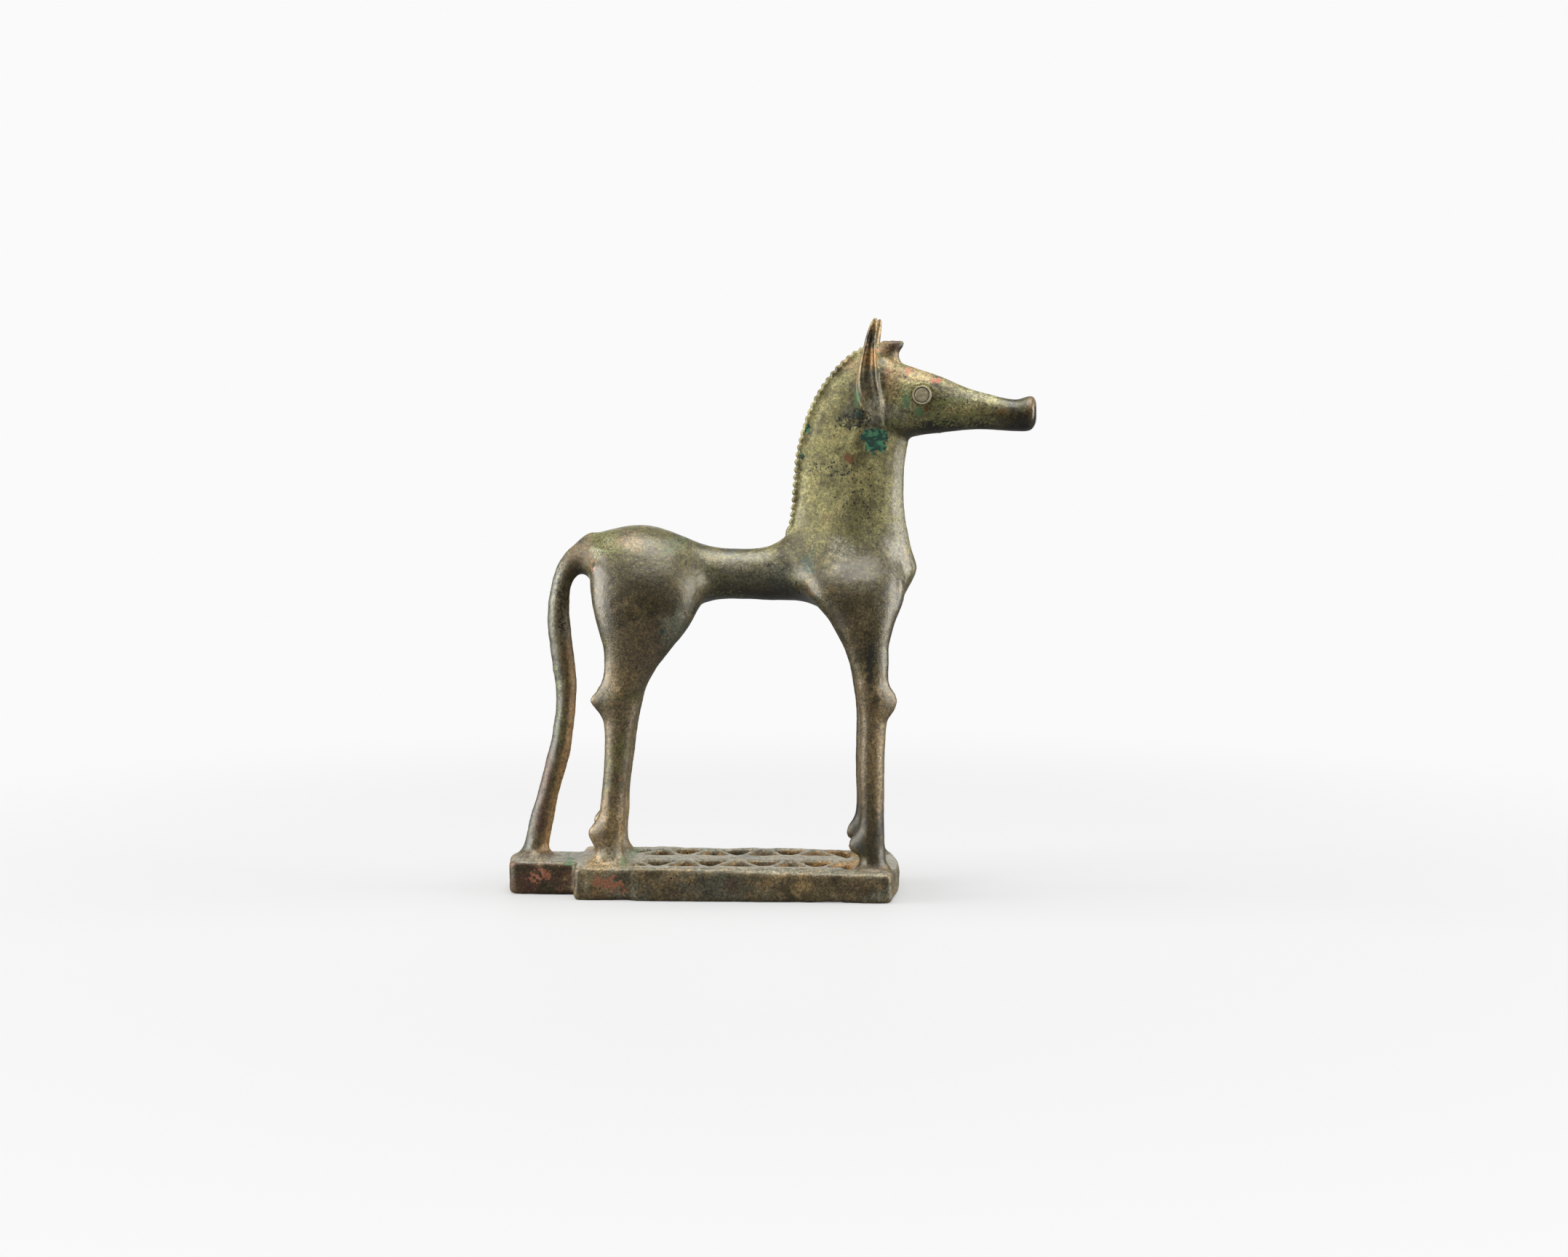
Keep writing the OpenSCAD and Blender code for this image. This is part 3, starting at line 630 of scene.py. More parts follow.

# what lies on the ground colour, on the horse's right side: stains, and some painted highlights and painted
# shade. For each node a list of patches: sort, place along X and up Z as shares of the node's box, half
# length and half height in millimetres, and strength
MARKS = [
    ("neck", [
        ("dark", 0.72, 0.52, 5.6, 6.4, 0.6), ("verdigris", 0.72, 0.51, 4.4, 5.2, 1),
        ("dark", 0.56, 0.62, 4, 3, 0.7), ("soot", 0.56, 0.60, 5, 5, 0.8),
        ("teal", 0.57, 0.65, 1.8, 1.8, 0.9), ("mint", 0.57, 0.73, 1.2, 3.2, 0.9),
        ("rust", 0.51, 0.41, 1.8, 2, 1), ("dark", 0.44, 0.35, 5, 1.6, 0.3),
        ("soot", 0.41, 0.35, 9, 3.4, 0.6), ("verdigris", 0.17, 0.56, 1.1, 1.8, 0.8),
        ("verdigris", 0.12, 0.42, 0.9, 1, 0.8), ("moss", 0.54, 0.12, 9, 10, 1),
        ("soot", 0.60, 0.20, 8, 12, 0.3), ("slate", 0.66, 0.80, 5, 8, 0.8),
        ("slate", 0.50, 0.67, 3, 3, 0.7), ("clay", 0.57, 0.88, 4, 4, 0.5),
        ("tan", 0.50, 0.92, 3, 3, 0.6), ("umber", 0.76, 0.84, 2.4, 6, 0.8),
        # the stone band down the front of the neck is a painted highlight on grey-green patina
        ("stone", 0.94, 0.22, 3.6, 20, 0.8)]),
    ("chest", [("teal", 0.28, 0.66, 2.6, 3.8, 0.6)]),
    ("barrel", [("teal", 0.76, 0.54, 3, 2.4, 0.6)]),
    ("chest", [
        ("umber", 0.55, 0.32, 5, 10, 0.7), ("stone", 0.86, 0.70, 4.5, 11, 0.7),
        ("chalk", 0.50, 0.82, 5, 5, 0.3), ("lime", 0.35, 0.15, 2.5, 5, 0.6)]),
    ("head", [
        # the pale grey patch at 0.14, 0.34, by the ear's root, is a painted highlight
        ("umber", 0.62, 0.12, 14, 3.2, 0.7), ("chalk", 0.14, 0.34, 4, 5, 0.6),
        ("chalk", 0.28, 0.31, 4, 3.4, 0.35), ("tan", 0.71, 0.32, 5, 2, 0.4),
        # the tan along the brow and the stone band along the top of the nose are painted highlights
        ("tan", 0.40, 0.76, 8, 2.4, 0.6), ("stone", 0.72, 0.50, 10, 1.8, 0.7),
        ("mint", 0.33, 0.46, 1.5, 2.6, 0.9), ("mint", 0.42, 0.31, 1.5, 2, 0.8),
        ("lime", 0.60, 0.24, 14, 3.4, 0.8), ("lime", 0.62, 0.44, 8, 1.8, 0.8),
        ("lime", 0.25, 0.18, 6, 3, 0.7), ("copper", 0.35, 0.80, 2.6, 1.4, 0.6),
        ("copper", 0.54, 0.69, 2.6, 1.1, 0.8), ("tan", 0.24, 0.74, 2.4, 6, 0.7),
        ("copper", 0.21, 0.74, 1, 4.5, 0.6), ("rust", 0.47, 0.36, 0.9, 1.1, 0.9),
        ("rust", 0.98, 0.32, 2.2, 1.4, 0.5), ("umber", 0.54, 0.47, 4.5, 1, 0.8),
        ("umber", 0.90, 0.28, 9, 4, 0.6)]),
    ("ear", [
        ("clay", 0.55, 0.36, 2, 5, 0.4), ("dark", 0.50, 0.80, 1.4, 3.4, 0.8),
        ("ochre", 0.55, 0.64, 2.2, 3.4, 0.8), ("tan", 0.75, 0.97, 2.4, 3, 1)]),
    ("forelock", [
        ("copper", 0.22, 0.50, 2.4, 3, 0.4), ("dark", 0.80, 0.75, 2, 1.4, 0.7),
        ("mint", 0.98, 0.85, 1.4, 1, 0.6)]),
    ("croup", [
        ("lime", 0.17, 0.78, 5, 5.5, 0.8), ("copper", 0.06, 0.55, 1.6, 2.4, 0.5),
        ("mint", 0.70, 0.78, 6, 3.4, 0.35), ("tan", 0.35, 0.82, 5, 3, 0.4)]),
    ("haunch", [
        # the umber patch in the middle of the haunch is partly darker patina, partly a painted dark
        # reflection between its side highlights
        ("umber", 0.52, 0.74, 9, 9, 0.8), ("clay", 0.45, 0.34, 9, 14, 0.8),
        ("stone", 0.76, 0.44, 5, 8, 0.7), ("teal", 0.65, 0.44, 1, 1, 1),
        ("mint", 0.78, 0.52, 2.6, 4, 0.3)]),
    ("barrel", [
        # the dark patch low on the barrel is painted shade on its underside
        ("stone", 0.45, 0.54, 15, 4, 0.7), ("dark", 0.55, 0.10, 16, 4, 0.6),
        ("lime", 0.30, 0.16, 7, 2.6, 0.6)]),
    ("croup", [("earth", 0, 0.66, 4.5, 4.5, 0.9)]),
    ("tail", [("earth", 0.82, 0.95, 4, 3, 0.9)]),
    ("shoulder", [
        ("clay", 0.55, 0.46, 5, 8, 0.6), ("umber", 0.92, 0.54, 3, 8, 0.5),
        ("tan", 0.60, 0.04, 5, 4, 0.4)]),
    ("haunch", [("tan", 0.30, 0.06, 6, 5, 0.4)]),
    ("tail", [
        ("reddish", 0.20, 0.18, 6, 14, 0.8), ("stone", 0.60, 0.78, 4, 16, 0.6),
        ("soot", 0.60, 0.76, 1.6, 9, 0.8), ("lime", 0.55, 0.45, 2.5, 8, 0.7),
        ("copper", 0.30, 0.22, 1.6, 6, 0.3)]),
    ("shoulder", [("dark", 0.66, 0.20, 1.6, 9, 0.9)]),
    ("hind_shank", [("umber", 0.12, 0.90, 3, 4, 0.7)]),
    ("fore_shank", [("umber", 0.92, 0.92, 2.4, 4, 0.5)]),
    ("hind_shank", [
        ("copper", 0.55, 0.25, 0.7, 0.7, 0.9), ("copper", 0.85, 0.45, 0.8, 1.6, 0.6)]),
    ("hind_hoof", [
        ("tan", 0.30, 0.05, 6, 2.6, 0.8), ("chalk", 0.55, 0.22, 4, 3, 0.4),
        ("mint", 0.85, 0.08, 2.5, 1.4, 0.6)]),
    ("fore_shank", [("tan", 0.50, 0.45, 2.2, 17, 0.5)]),
    ("fore_hoof", [
        ("dark", 0.15, 0.55, 3, 5, 0.6), ("copper", 0.60, 0.08, 5.5, 1.2, 0.35)]),
    ("base_plate", [
        ("copper", 0.11, 0.50, 6.5, 3, 0.76), ("copper", 0.47, 0.62, 2, 2, 0.3),
        ("copper", 0.87, 0.60, 4, 3, 0.3), ("tan", 0.70, 0.50, 3.4, 3.2, 1),
        ("tan", 0.93, 0.60, 3, 2.6, 0.5), ("slate", 0.45, 0.50, 14, 5, 0.6),
        ("dark", 0.25, 0.30, 9, 3, 0.3), ("reddish", 0.48, 0.50, 3, 3, 0.5)]),
    ("tail_ledge", [
        ("copper", 0.45, 0.60, 5, 2.4, 0.72), ("mint", 0.85, 0.95, 1.8, 1.4, 0.7)]),
]

# first seeds of the two sides' ragged edges, and the seed that moves the left side's patches
RIGHT_SEED = 40
LEFT_SEED = 240
SHUFFLE_SEED = 7


class Patina:
    """Colour, roughness and growths at every point of the skin."""

    # growths that the material draws, and stains and painted light and shade that change the ground's colour
    # and roughness
    LAYERS = ("verdigris", "mint", "copper", "rust", "lime", "soot")
    STAINS = {"teal": (PINE, 0.45), "umber": (UMBER, 0.36), "clay": (CLAY, 0.36), "moss": (MOSS, 0.50),
              "tan": (TAN, 0.40), "chalk": (PALE_GREY, 0.40), "ochre": (OCHRE, 0.36), "reddish": (REDDISH, 0.40),
              "slate": (SLATE, 0.42), "stone": (STONE, 0.42), "dark": (NEAR_BLACK, 0.38), "earth": (BARK, 0.62)}

    def __init__(self, points, normals, kind):
        self.points = points
        self.normals = normals
        self.kind = kind
        self.plate = kind["base_plate"] + kind["tail_ledge"]
        self.layers = {name: np.zeros(len(points)) for name in self.LAYERS}
        self.tone = np.zeros((len(points), 3))
        self.gloss, self.grit, self.speckle = np.zeros((3, len(points)))
        self.lay_grounds()

    def lay_grounds(self):
        """Each node's own colour, clouded into its second one."""
        broad = noise(self.points, 8, 21)
        small = noise(self.points, 2.3, 22)
        cloud = rise(broad + 0.7 * small, -0.25, 0.9)
        for node, share in self.kind.items():
            first, second, rough, grit, speckle = GROUNDS[node.replace("right_", "").replace("left_", "")]
            self.tone += share[:, None] * (np.array(first) + cloud[:, None] * (np.array(second) - first))
            self.gloss += share * rough
            self.grit += share * grit
            self.speckle += share * speckle
        self.tone *= (1 + 0.16 * noise(self.points, 1.1, 23) + 0.12 * small)[:, None]

    def stain(self, mask, colour, rough):
        """Blends a colour in, for stains and for painted light and shade."""
        self.tone += mask[:, None] * (np.array(colour) - self.tone)
        self.gloss += mask * (rough - self.gloss)

    def mark(self, node, sort, along, up, length, height, strength, side, seed):
        """One ragged patch on one side of the horse."""
        low, high = box_mm(node)
        x = low[0] + along * (high[0] - low[0])
        z = low[2] + up * (high[2] - low[2])
        far = np.hypot((self.points[:, 0] - x) / length, (self.points[:, 2] - z) / height)
        near = np.flatnonzero((far < 1.8) & (self.points[:, 1] * side > -0.5))
        if not len(near):
            return
        here = self.points[near]
        size = min(length, height)
        ragged = far[near] + 0.42 * noise(here, size * 0.7, seed) + 0.25 * noise(here, size * 0.25, seed + 1)
        mask = np.zeros(len(self.points))
        mask[near] = strength * (1 - rise(ragged, 0.45, 1.15))
        if sort in self.layers:
            self.layers[sort] = np.maximum(self.layers[sort], mask)
        else:
            self.stain(mask, *self.STAINS[sort])

    def lay_marks(self):
        """The marks on the right side, and the same ones shuffled along on the left."""
        draw = np.random.default_rng(SHUFFLE_SEED)
        patches = [(name, *patch) for name, group in MARKS for patch in group]
        for i, (name, sort, along, up, *rest) in enumerate(patches):
            self.mark(on_side(name, "right"), sort, along, up, *rest, -1, RIGHT_SEED + 2 * i)
            along += draw.uniform(-0.15, 0.15)
            up += draw.uniform(-0.12, 0.12)
            self.mark(on_side(name, "left"), sort, along, up, *rest, 1, LEFT_SEED + 2 * i)

    def lay_tail(self):
        """The tail is cool grey-green behind and warm in front."""
        behind = self.kind["tail"] * rise(-self.normals[:, 0], 0.0, 0.7)
        self.stain(0.8 * behind, SLATE, 0.38)
        front = self.kind["tail"] * rise(self.normals[:, 0], 0.1, 0.8)
        self.stain(0.6 * front, OCHRE, 0.45)

    def lay_openings(self):
        """Ochre earth on the walls of the plate's openings, and painted shade at the bottom."""
        deep = self.kind["base_plate"] * rise(PLATE_TOP - 0.1 - self.points[:, 2], 0.1, 1.0)
        low, high = box_mm("base_plate")
        inner = np.minimum(self.points - low, high - self.points)[:, :2].min(axis=1)
        deep *= rise(inner, 5, 6.5)
        self.stain(0.8 * deep * rise(noise(self.points, 5, 31), -0.7, 0.4), EARTH, 0.6)
        # painted shade: the bottom of each opening darkened nearly to black
        self.stain(0.8 * deep * rise(PLATE_TOP - 6.5 - self.points[:, 2], 0, 3), NEAR_BLACK, 0.6)

    def lay_underside(self):
        """Painted shade: surfaces that face down, above the plate, are darkened."""
        above = rise(self.points[:, 2], PLATE_TOP + 2, PLATE_TOP + 10)
        under_shade = rise(-self.normals[:, 2], 0.1, 0.8) * above
        # painted shade: darkens the tone of downward-facing surfaces
        self.tone *= (1 - 0.7 * under_shade)[:, None]

    def lay_clouds(self):
        """Broad light and dark clouds, strongest on the plate."""
        cloud = noise(self.points, 4.5, 33) + 0.6 * noise(self.points, 1.8, 34)
        self.stain((0.25 + 0.35 * self.plate) * rise(cloud, 0.3, 0.9), TAN, 0.42)
        self.stain((0.45 + 0.20 * self.plate) * rise(-cloud, 0.2, 0.7), UMBER, 0.36)
        green = noise(self.points, 6, 37) + 0.5 * noise(self.points, 2, 38)
        self.stain(0.4 * (1 - self.plate) * rise(green, 0.3, 0.9), MOSS, 0.38)

    def lay_plate_top_sheen(self):
        """The plate's top is rubbed smooth, and painted lighter and greyer where it faces up: a painted
        sheen.
        """
        high = rise(self.points[:, 2], PLATE_TOP - 3, PLATE_TOP - 2)
        top = self.plate * rise(self.normals[:, 2], 0.6, 0.95) * high
        # painted sheen: a pale grey laid on the plate's upward-facing top, with a lower roughness for the
        # rubbed smooth metal
        self.stain(0.5 * top, PALE_GREY, 0.32)

    def lay_wear(self, bend):
        """Rubbed high edges and dirt in the hollows."""
        edge = rise(bend + 0.008 * noise(self.points, 3, 35), 0.008, 0.04)
        edge *= 1 - 0.8 * self.plate * rise(noise(self.points, 5, 36), -0.5, 0.3)
        hollow = rise(-bend, 0.006, 0.04)
        self.tone *= (1 - 0.55 * hollow)[:, None]
        self.gloss += 0.12 * hollow
        self.worn = edge

    def surface(self):
        """Everything the material reads, by name."""
        tone = np.concatenate([np.clip(self.tone, 0.003, 0.9), np.ones((len(self.tone), 1))], axis=1)
        return {"tone": tone, "gloss": self.gloss, "grit": self.grit,
                "speckle": self.speckle, "worn": self.worn, **self.layers}


def bends(skin):
    """How sharply the skin bends outward at each point, in millimetres off its neighbours' mean."""
    normals = skin.normals()
    bend = ((skin.points - skin.spread(skin.points)) * normals).sum(axis=1)[:, None]
    area = skin.spread(np.ones((len(bend), 1)))
    for i in range(4):
        bend = skin.spread(bend) / area
    return bend[:, 0]


# ---- parting the casting into closed pieces ----

CUT_VOXEL = 0.8
CUT_REACH = 6.0
CUT_ORDER = ["base_plate", "neck", "barrel", "croup", "chest", "head", "tail", "tail_ledge"]
OVERLAP = 0.1
# the material slot that marks a cut face until its piece is finished
CUT_SLOT = 1


def node_fields():
    """Distance to each node of the casting."""
    return {n: Field.of_skin(*triangles(n), CUT_REACH, CUT_VOXEL) for n in NODES if n not in EYES}


def kinds(points, fields):
    """Each node's share of each point, soft across the joins."""
    weights = {n: np.clip((5 - f.at(points)) / 6, 0, 1) ** 3 for n, f in fields.items()}
    total = sum(weights.values())
    return {n: w / total for n, w in weights.items()}


def shares(own):
    """For each node, a closed skin round the space that is nearer to it than to any other node."""
    low = np.min([f.low for f in own.values()], axis=0)
    high = np.max([f.low + f.values.shape for f in own.values()], axis=0)
    first = Field(low, np.full(tuple(high - low), CUT_REACH, np.float32), CUT_VOXEL)
    second = Field(low, first.values.copy(), CUT_VOXEL)
    for field in own.values():
        nearest, next_one = first.view_of(field), second.view_of(field)
        np.copyto(next_one, np.minimum(next_one, np.maximum(nearest, field.values)))
        np.copyto(nearest, np.minimum(nearest, field.values))
    regions = {}
    for node, field in own.items():
        nearest, next_one = first.view_of(field), second.view_of(field)
        other = np.where(nearest == field.values, next_one, nearest)
        share = np.maximum(field.values - other, field.values - (CUT_REACH - 1)) - np.float32(OVERLAP)
        regions[node] = Field(field.low, share, CUT_VOXEL).skin()
    return regions


def mesh_object(name, points, faces, slot=0):
    """An object from points in millimetres, with every face in one of two empty material slots."""
    mesh = bpy.data.meshes.new(name)
    mesh.from_pydata(points * MM, [], faces)
    mesh.materials.append(None)
    mesh.materials.append(None)
    mesh.polygons.foreach_set("material_index", np.full(len(faces), slot, np.int32))
    made = bpy.data.objects.new(name, mesh)
    bpy.context.scene.collection.objects.link(made)
    return made


def dress(mesh, material):
    """Gives the whole mesh one material."""
    mesh.materials.clear()
    mesh.materials.append(material)
    mesh.polygons.foreach_set("material_index", np.zeros(len(mesh.polygons), np.int32))


def carved(target, cutter, operation):
    """The target's mesh with the cutter's space kept or taken away."""
    cut = target.modifiers.new("cut", "BOOLEAN")
    cut.operation = operation
    cut.solver = "MANIFOLD"
    cut.object = cutter
    graph = bpy.context.evaluated_depsgraph_get()
    mesh = bpy.data.meshes.new_from_object(target.evaluated_get(graph))
    target.modifiers.clear()
    return mesh


def drop_crumbs(mesh):
    """Leaves only the largest closed shell of a mesh."""
    keep = largest_shell(mesh_faces(mesh), len(mesh.vertices))
    if keep.all():
        return
    work = bmesh.new()
    work.from_mesh(mesh)
    work.verts.ensure_lookup_table()
    bmesh.ops.delete(work, geom=[work.verts[int(i)] for i in np.flatnonzero(~keep)], context="VERTS")
    work.to_mesh(mesh)
    work.free()


def part(skin, fields):
    """One closed mesh for each node, cut from the casting."""
    rest = mesh_object("rest", skin.points, skin.triangles)
    regions = shares(fields)
    order = CUT_ORDER + [n for n in regions if n not in CUT_ORDER]
    meshes = {}
    for node in order:
        cutter = mesh_object("cutter", *regions[node], CUT_SLOT)
        meshes[node] = carved(rest, cutter, "INTERSECT")
        rest.data = carved(rest, cutter, "DIFFERENCE")
        bpy.data.objects.remove(cutter)
        drop_crumbs(meshes[node])
    bpy.data.objects.remove(rest)
    return meshes


def finish_piece(node, mesh, skin, normals, tree, material):
    """Gives a parted mesh the whole casting's normals and surface values, and puts it on its body."""
    nearest = np.array([tree.find(p)[1] for p in listed(mesh.vertices, "co", 3)])
    corners = listed(mesh.loops, "vertex_index", 1, np.int32)[:, 0]
    slot = listed(mesh.polygons, "material_index", 1, np.int32)[:, 0]
    total = listed(mesh.polygons, "loop_total", 1, np.int32)[:, 0]
    inside = np.repeat(slot == CUT_SLOT, total)
    directions = normals[nearest[corners]]
    directions[inside] = np.repeat(listed(mesh.polygons, "normal", 3), total, axis=0)[inside]
    mesh.shade_smooth()
    mesh.normals_split_custom_set(directions)
    for name, values in skin.surface.items():
        colour = values.ndim == 2
        layer = mesh.attributes.new(name, "FLOAT_COLOR" if colour else "FLOAT", "POINT")
        layer.data.foreach_set("color" if colour else "value", values[nearest].astype(np.float32).ravel())
    mesh.name = node
    dress(mesh, material)
    piece = bpy.data.objects.new("cast_" + node, mesh)
    bpy.context.scene.collection.objects.link(piece)
    settle(piece, node)


def slot_of(node):
    """The record's material slot for a node."""
    return next(slot for slot, nodes in SLOT_OF.items() if node in nodes)


def settle(piece, node):
    """Puts a piece on its body in place of its node."""
    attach(piece, "root")
    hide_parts(node)


# ---- the eyes: turned buttons let into the head ----

EYE_SEGMENTS = 72
# half section of a button from its buried back to the middle of its face: radius and height below the rim
EYE_SECTION = [
    (0.05, -2.5), (1.4, -2.5), (2.72, -2.5), (2.85, -2.35), (2.85, -1.2), (2.85, -0.30), (2.82, -0.15),
    (2.74, -0.05), (2.62, -0.01), (2.50, -0.02), (2.40, -0.08), (2.30, -0.20), (2.20, -0.25), (2.10, -0.20),
    (2.00, -0.11), (1.85, -0.07), (1.6, -0.05), (1.3, -0.04), (1.0, -0.03), (0.7, -0.02), (0.4, -0.02),
    (0.15, -0.02)]
GROOVE_RADIUS = 2.22


def lathe(section, segments):
    """A closed solid of revolution round Z: points and faces."""
    turns = np.arange(segments) * 2 * np.pi / segments
    points = [(r * math.cos(t), r * math.sin(t), h) for r, h in section for t in turns]
    faces = []
    for ring in range(len(section) - 1):
        for i in range(segments):
            a = ring * segments + i
            b = ring * segments + (i + 1) % segments
            faces.append((a, b, b + segments, a + segments))
    faces.append(tuple(range(segments))[::-1])
    last = (len(section) - 1) * segments
    faces.append(tuple(range(last, last + segments)))
    return np.array(points), faces


def make_eye(side, material):
    """One eye, with a hammered face and a raised rim inside a fine groove."""
    node = side + "_eye"
    middle, out = eye_axis(side)
    corners, _ = triangles(node)
    face = ((corners - middle) @ out).max()
    points, faces = lathe(EYE_SECTION, EYE_SEGMENTS)
    seed = EYES.index(node) + 61
    on_face = rise(points[:, 2], -0.6, -0.2)
    points[:, 2] += on_face * (0.05 * noise(points, 0.9, seed) + 0.03 * noise(points, 0.4, seed + 2) - 0.02)
    points[:, :2] *= (1 + 0.012 * noise(points, 2.2, seed + 4))[:, None]
    turn = Vector(out).to_track_quat("Z", "Y").to_matrix()
    placed = points @ np.array(turn).T + middle + out * face
    eye = mesh_object("cast_" + node, placed, faces)
    dress(eye.data, material)
    eye.data.shade_smooth()
    # the groove's mask, which the eye's material darkens as painted shade
    off = np.abs(np.hypot(*points[:, :2].T) - GROOVE_RADIUS)
    groove = eye.data.attributes.new("groove", "FLOAT", "POINT")
    groove.data.foreach_set("value", 1 - rise(off, 0.08, 0.22))
    settle(eye, node)


# ---- materials ----

# index of refraction of each slot's bronze: the body and legs are the glossiest
SHINE = {"plate_bronze": 1.70, "body_bronze": 1.83, "leg_bronze": 1.78,
         "neck_bronze": 1.68, "head_bronze": 1.66}
EYE_PALE = (0.33, 0.28, 0.16)
EYE_RUBBED = (0.43, 0.37, 0.24)
# colour, size in millimetres, seed, and the noise value that they start at
EYE_FLECKS = [(PINK, 0.6, 23.0, 0.64), (MINT, 0.55, 24.0, 0.66), (NEAR_BLACK, 0.4, 25.0, 0.66)]


class Graph:
    """The nodes of a material or world, laid down by short calls."""

    def __init__(self, owner):
        owner.use_nodes = True
        self.owner = owner
        self.tree = owner.node_tree
        self.coordinates = self.add("TexCoord").outputs

    def add(self, kind, **settings):
        """A node with some of its settings."""
        made = self.tree.nodes.new("ShaderNode" + kind)
        for name, value in settings.items():
            setattr(made, name, value)
        return made

    def link(self, made, *values):
        """Fills a node's inputs in order, and gives back its first output."""
        for socket, value in zip(made.inputs, values):
            self.put(socket, value)
        return made.outputs[0]

    def put(self, socket, value):
        """Links a socket, or sets it when the value isn't a socket."""
        if isinstance(value, bpy.types.NodeSocket):
            self.tree.links.new(value, socket)
        else:
            socket.default_value = value

    def read(self, name, output="Fac"):
        """A value painted on the mesh."""
        return self.add("Attribute", attribute_name=name).outputs[output]

    def sums(self, operation, *values):
        """One arithmetic step."""
        return self.link(self.add("Math", operation=operation), *values)

    def grain(self, size, detail=3.0, seed=0.0, roughness=0.55):
        """Noise from 0 to 1 with features of a size in millimetres."""
        made = self.add("TexNoise", noise_dimensions="4D")
        given = {"Vector": self.coordinates["Object"], "Scale": 1 / (size * MM), "Detail": detail,
                 "Roughness": roughness, "W": seed}
        for name, value in given.items():
            self.put(made.inputs[name], value)
        return made.outputs["Fac"]

    def ramp(self, value, low, high, start=0.0, end=1.0, kind="SMOOTHSTEP"):
        """A step from start to end as the value goes from low to high."""
        return self.link(self.add("MapRange", interpolation_type=kind), value, low, high, start, end)

    def blend(self, share, first, second):
        """Two colours mixed."""
        made = self.add("Mix", data_type="RGBA")
        self.put(made.inputs["Factor"], share)
        a, b = (s for s in made.inputs if s.type == "RGBA")
        self.put(a, first if isinstance(first, bpy.types.NodeSocket) else (*first, 1))
        self.put(b, second if isinstance(second, bpy.types.NodeSocket) else (*second, 1))
        return next(s for s in made.outputs if s.type == "RGBA")

    def scale(self, colour, factor):
        """A colour made lighter or darker."""
        made = self.add("VectorMath", operation="SCALE")
        self.put(made.inputs["Scale"], factor)
        return self.link(made, colour)

    def patch(self, layer, size, seed, soft=0.12, break_up=2.2):
        """A painted layer with its edge broken up by noise."""
        amount = self.sums("MULTIPLY_ADD", self.grain(size, 5.0, seed, 0.65), break_up, self.read(layer))
        return self.ramp(amount, 0.55 + 0.5 * break_up - soft, 0.55 + 0.5 * break_up + soft)

    def veins(self, layer, size, seed):
        """Branching veins that widen into patches where a painted layer is strong."""
        off = self.sums("ABSOLUTE", self.sums("SUBTRACT", self.grain(size, 4.0, seed, 0.6), 0.5))
        amount = self.sums("MULTIPLY_ADD", off, -7.0, self.read(layer))
        return self.ramp(amount, 0.22, 0.34)

    def finish(self, colour, rough, height, depth, shine, metal):
        """Puts a bronze's values on its shader, with the relief's depth in millimetres."""
        shader = self.tree.nodes["Principled BSDF"]
        self.put(shader.inputs["Base Color"], colour)
        self.put(shader.inputs["Roughness"], rough)
        self.put(shader.inputs["IOR"], shine)
        self.put(shader.inputs["Metallic"], metal)
        bump = self.add("Bump")
        self.put(bump.inputs["Distance"], depth * MM)
        self.put(bump.inputs["Height"], height)
        self.put(shader.inputs["Normal"], bump.outputs["Normal"])
        return self.owner

    def show(self, share, first, second, output):
        """Mixes two shaders and sends them to the output."""
        mixed = self.link(self.add("MixShader"), share, first, second)
        self.put(self.tree.nodes[output].inputs["Surface"], mixed)
        return self.owner

    def flecks(self, layer, size, seed, base, gain):
        """Small specks, more of them on speckled ground and where a layer is strong."""
        limit = self.sums("MULTIPLY_ADD", self.read(layer), -0.18, base)
        limit = self.sums("MULTIPLY_ADD", self.read("speckle"), -gain, limit)
        over = self.sums("SUBTRACT", self.grain(size, 2.0, seed), limit)
        return self.ramp(over, 0.0, 0.04)


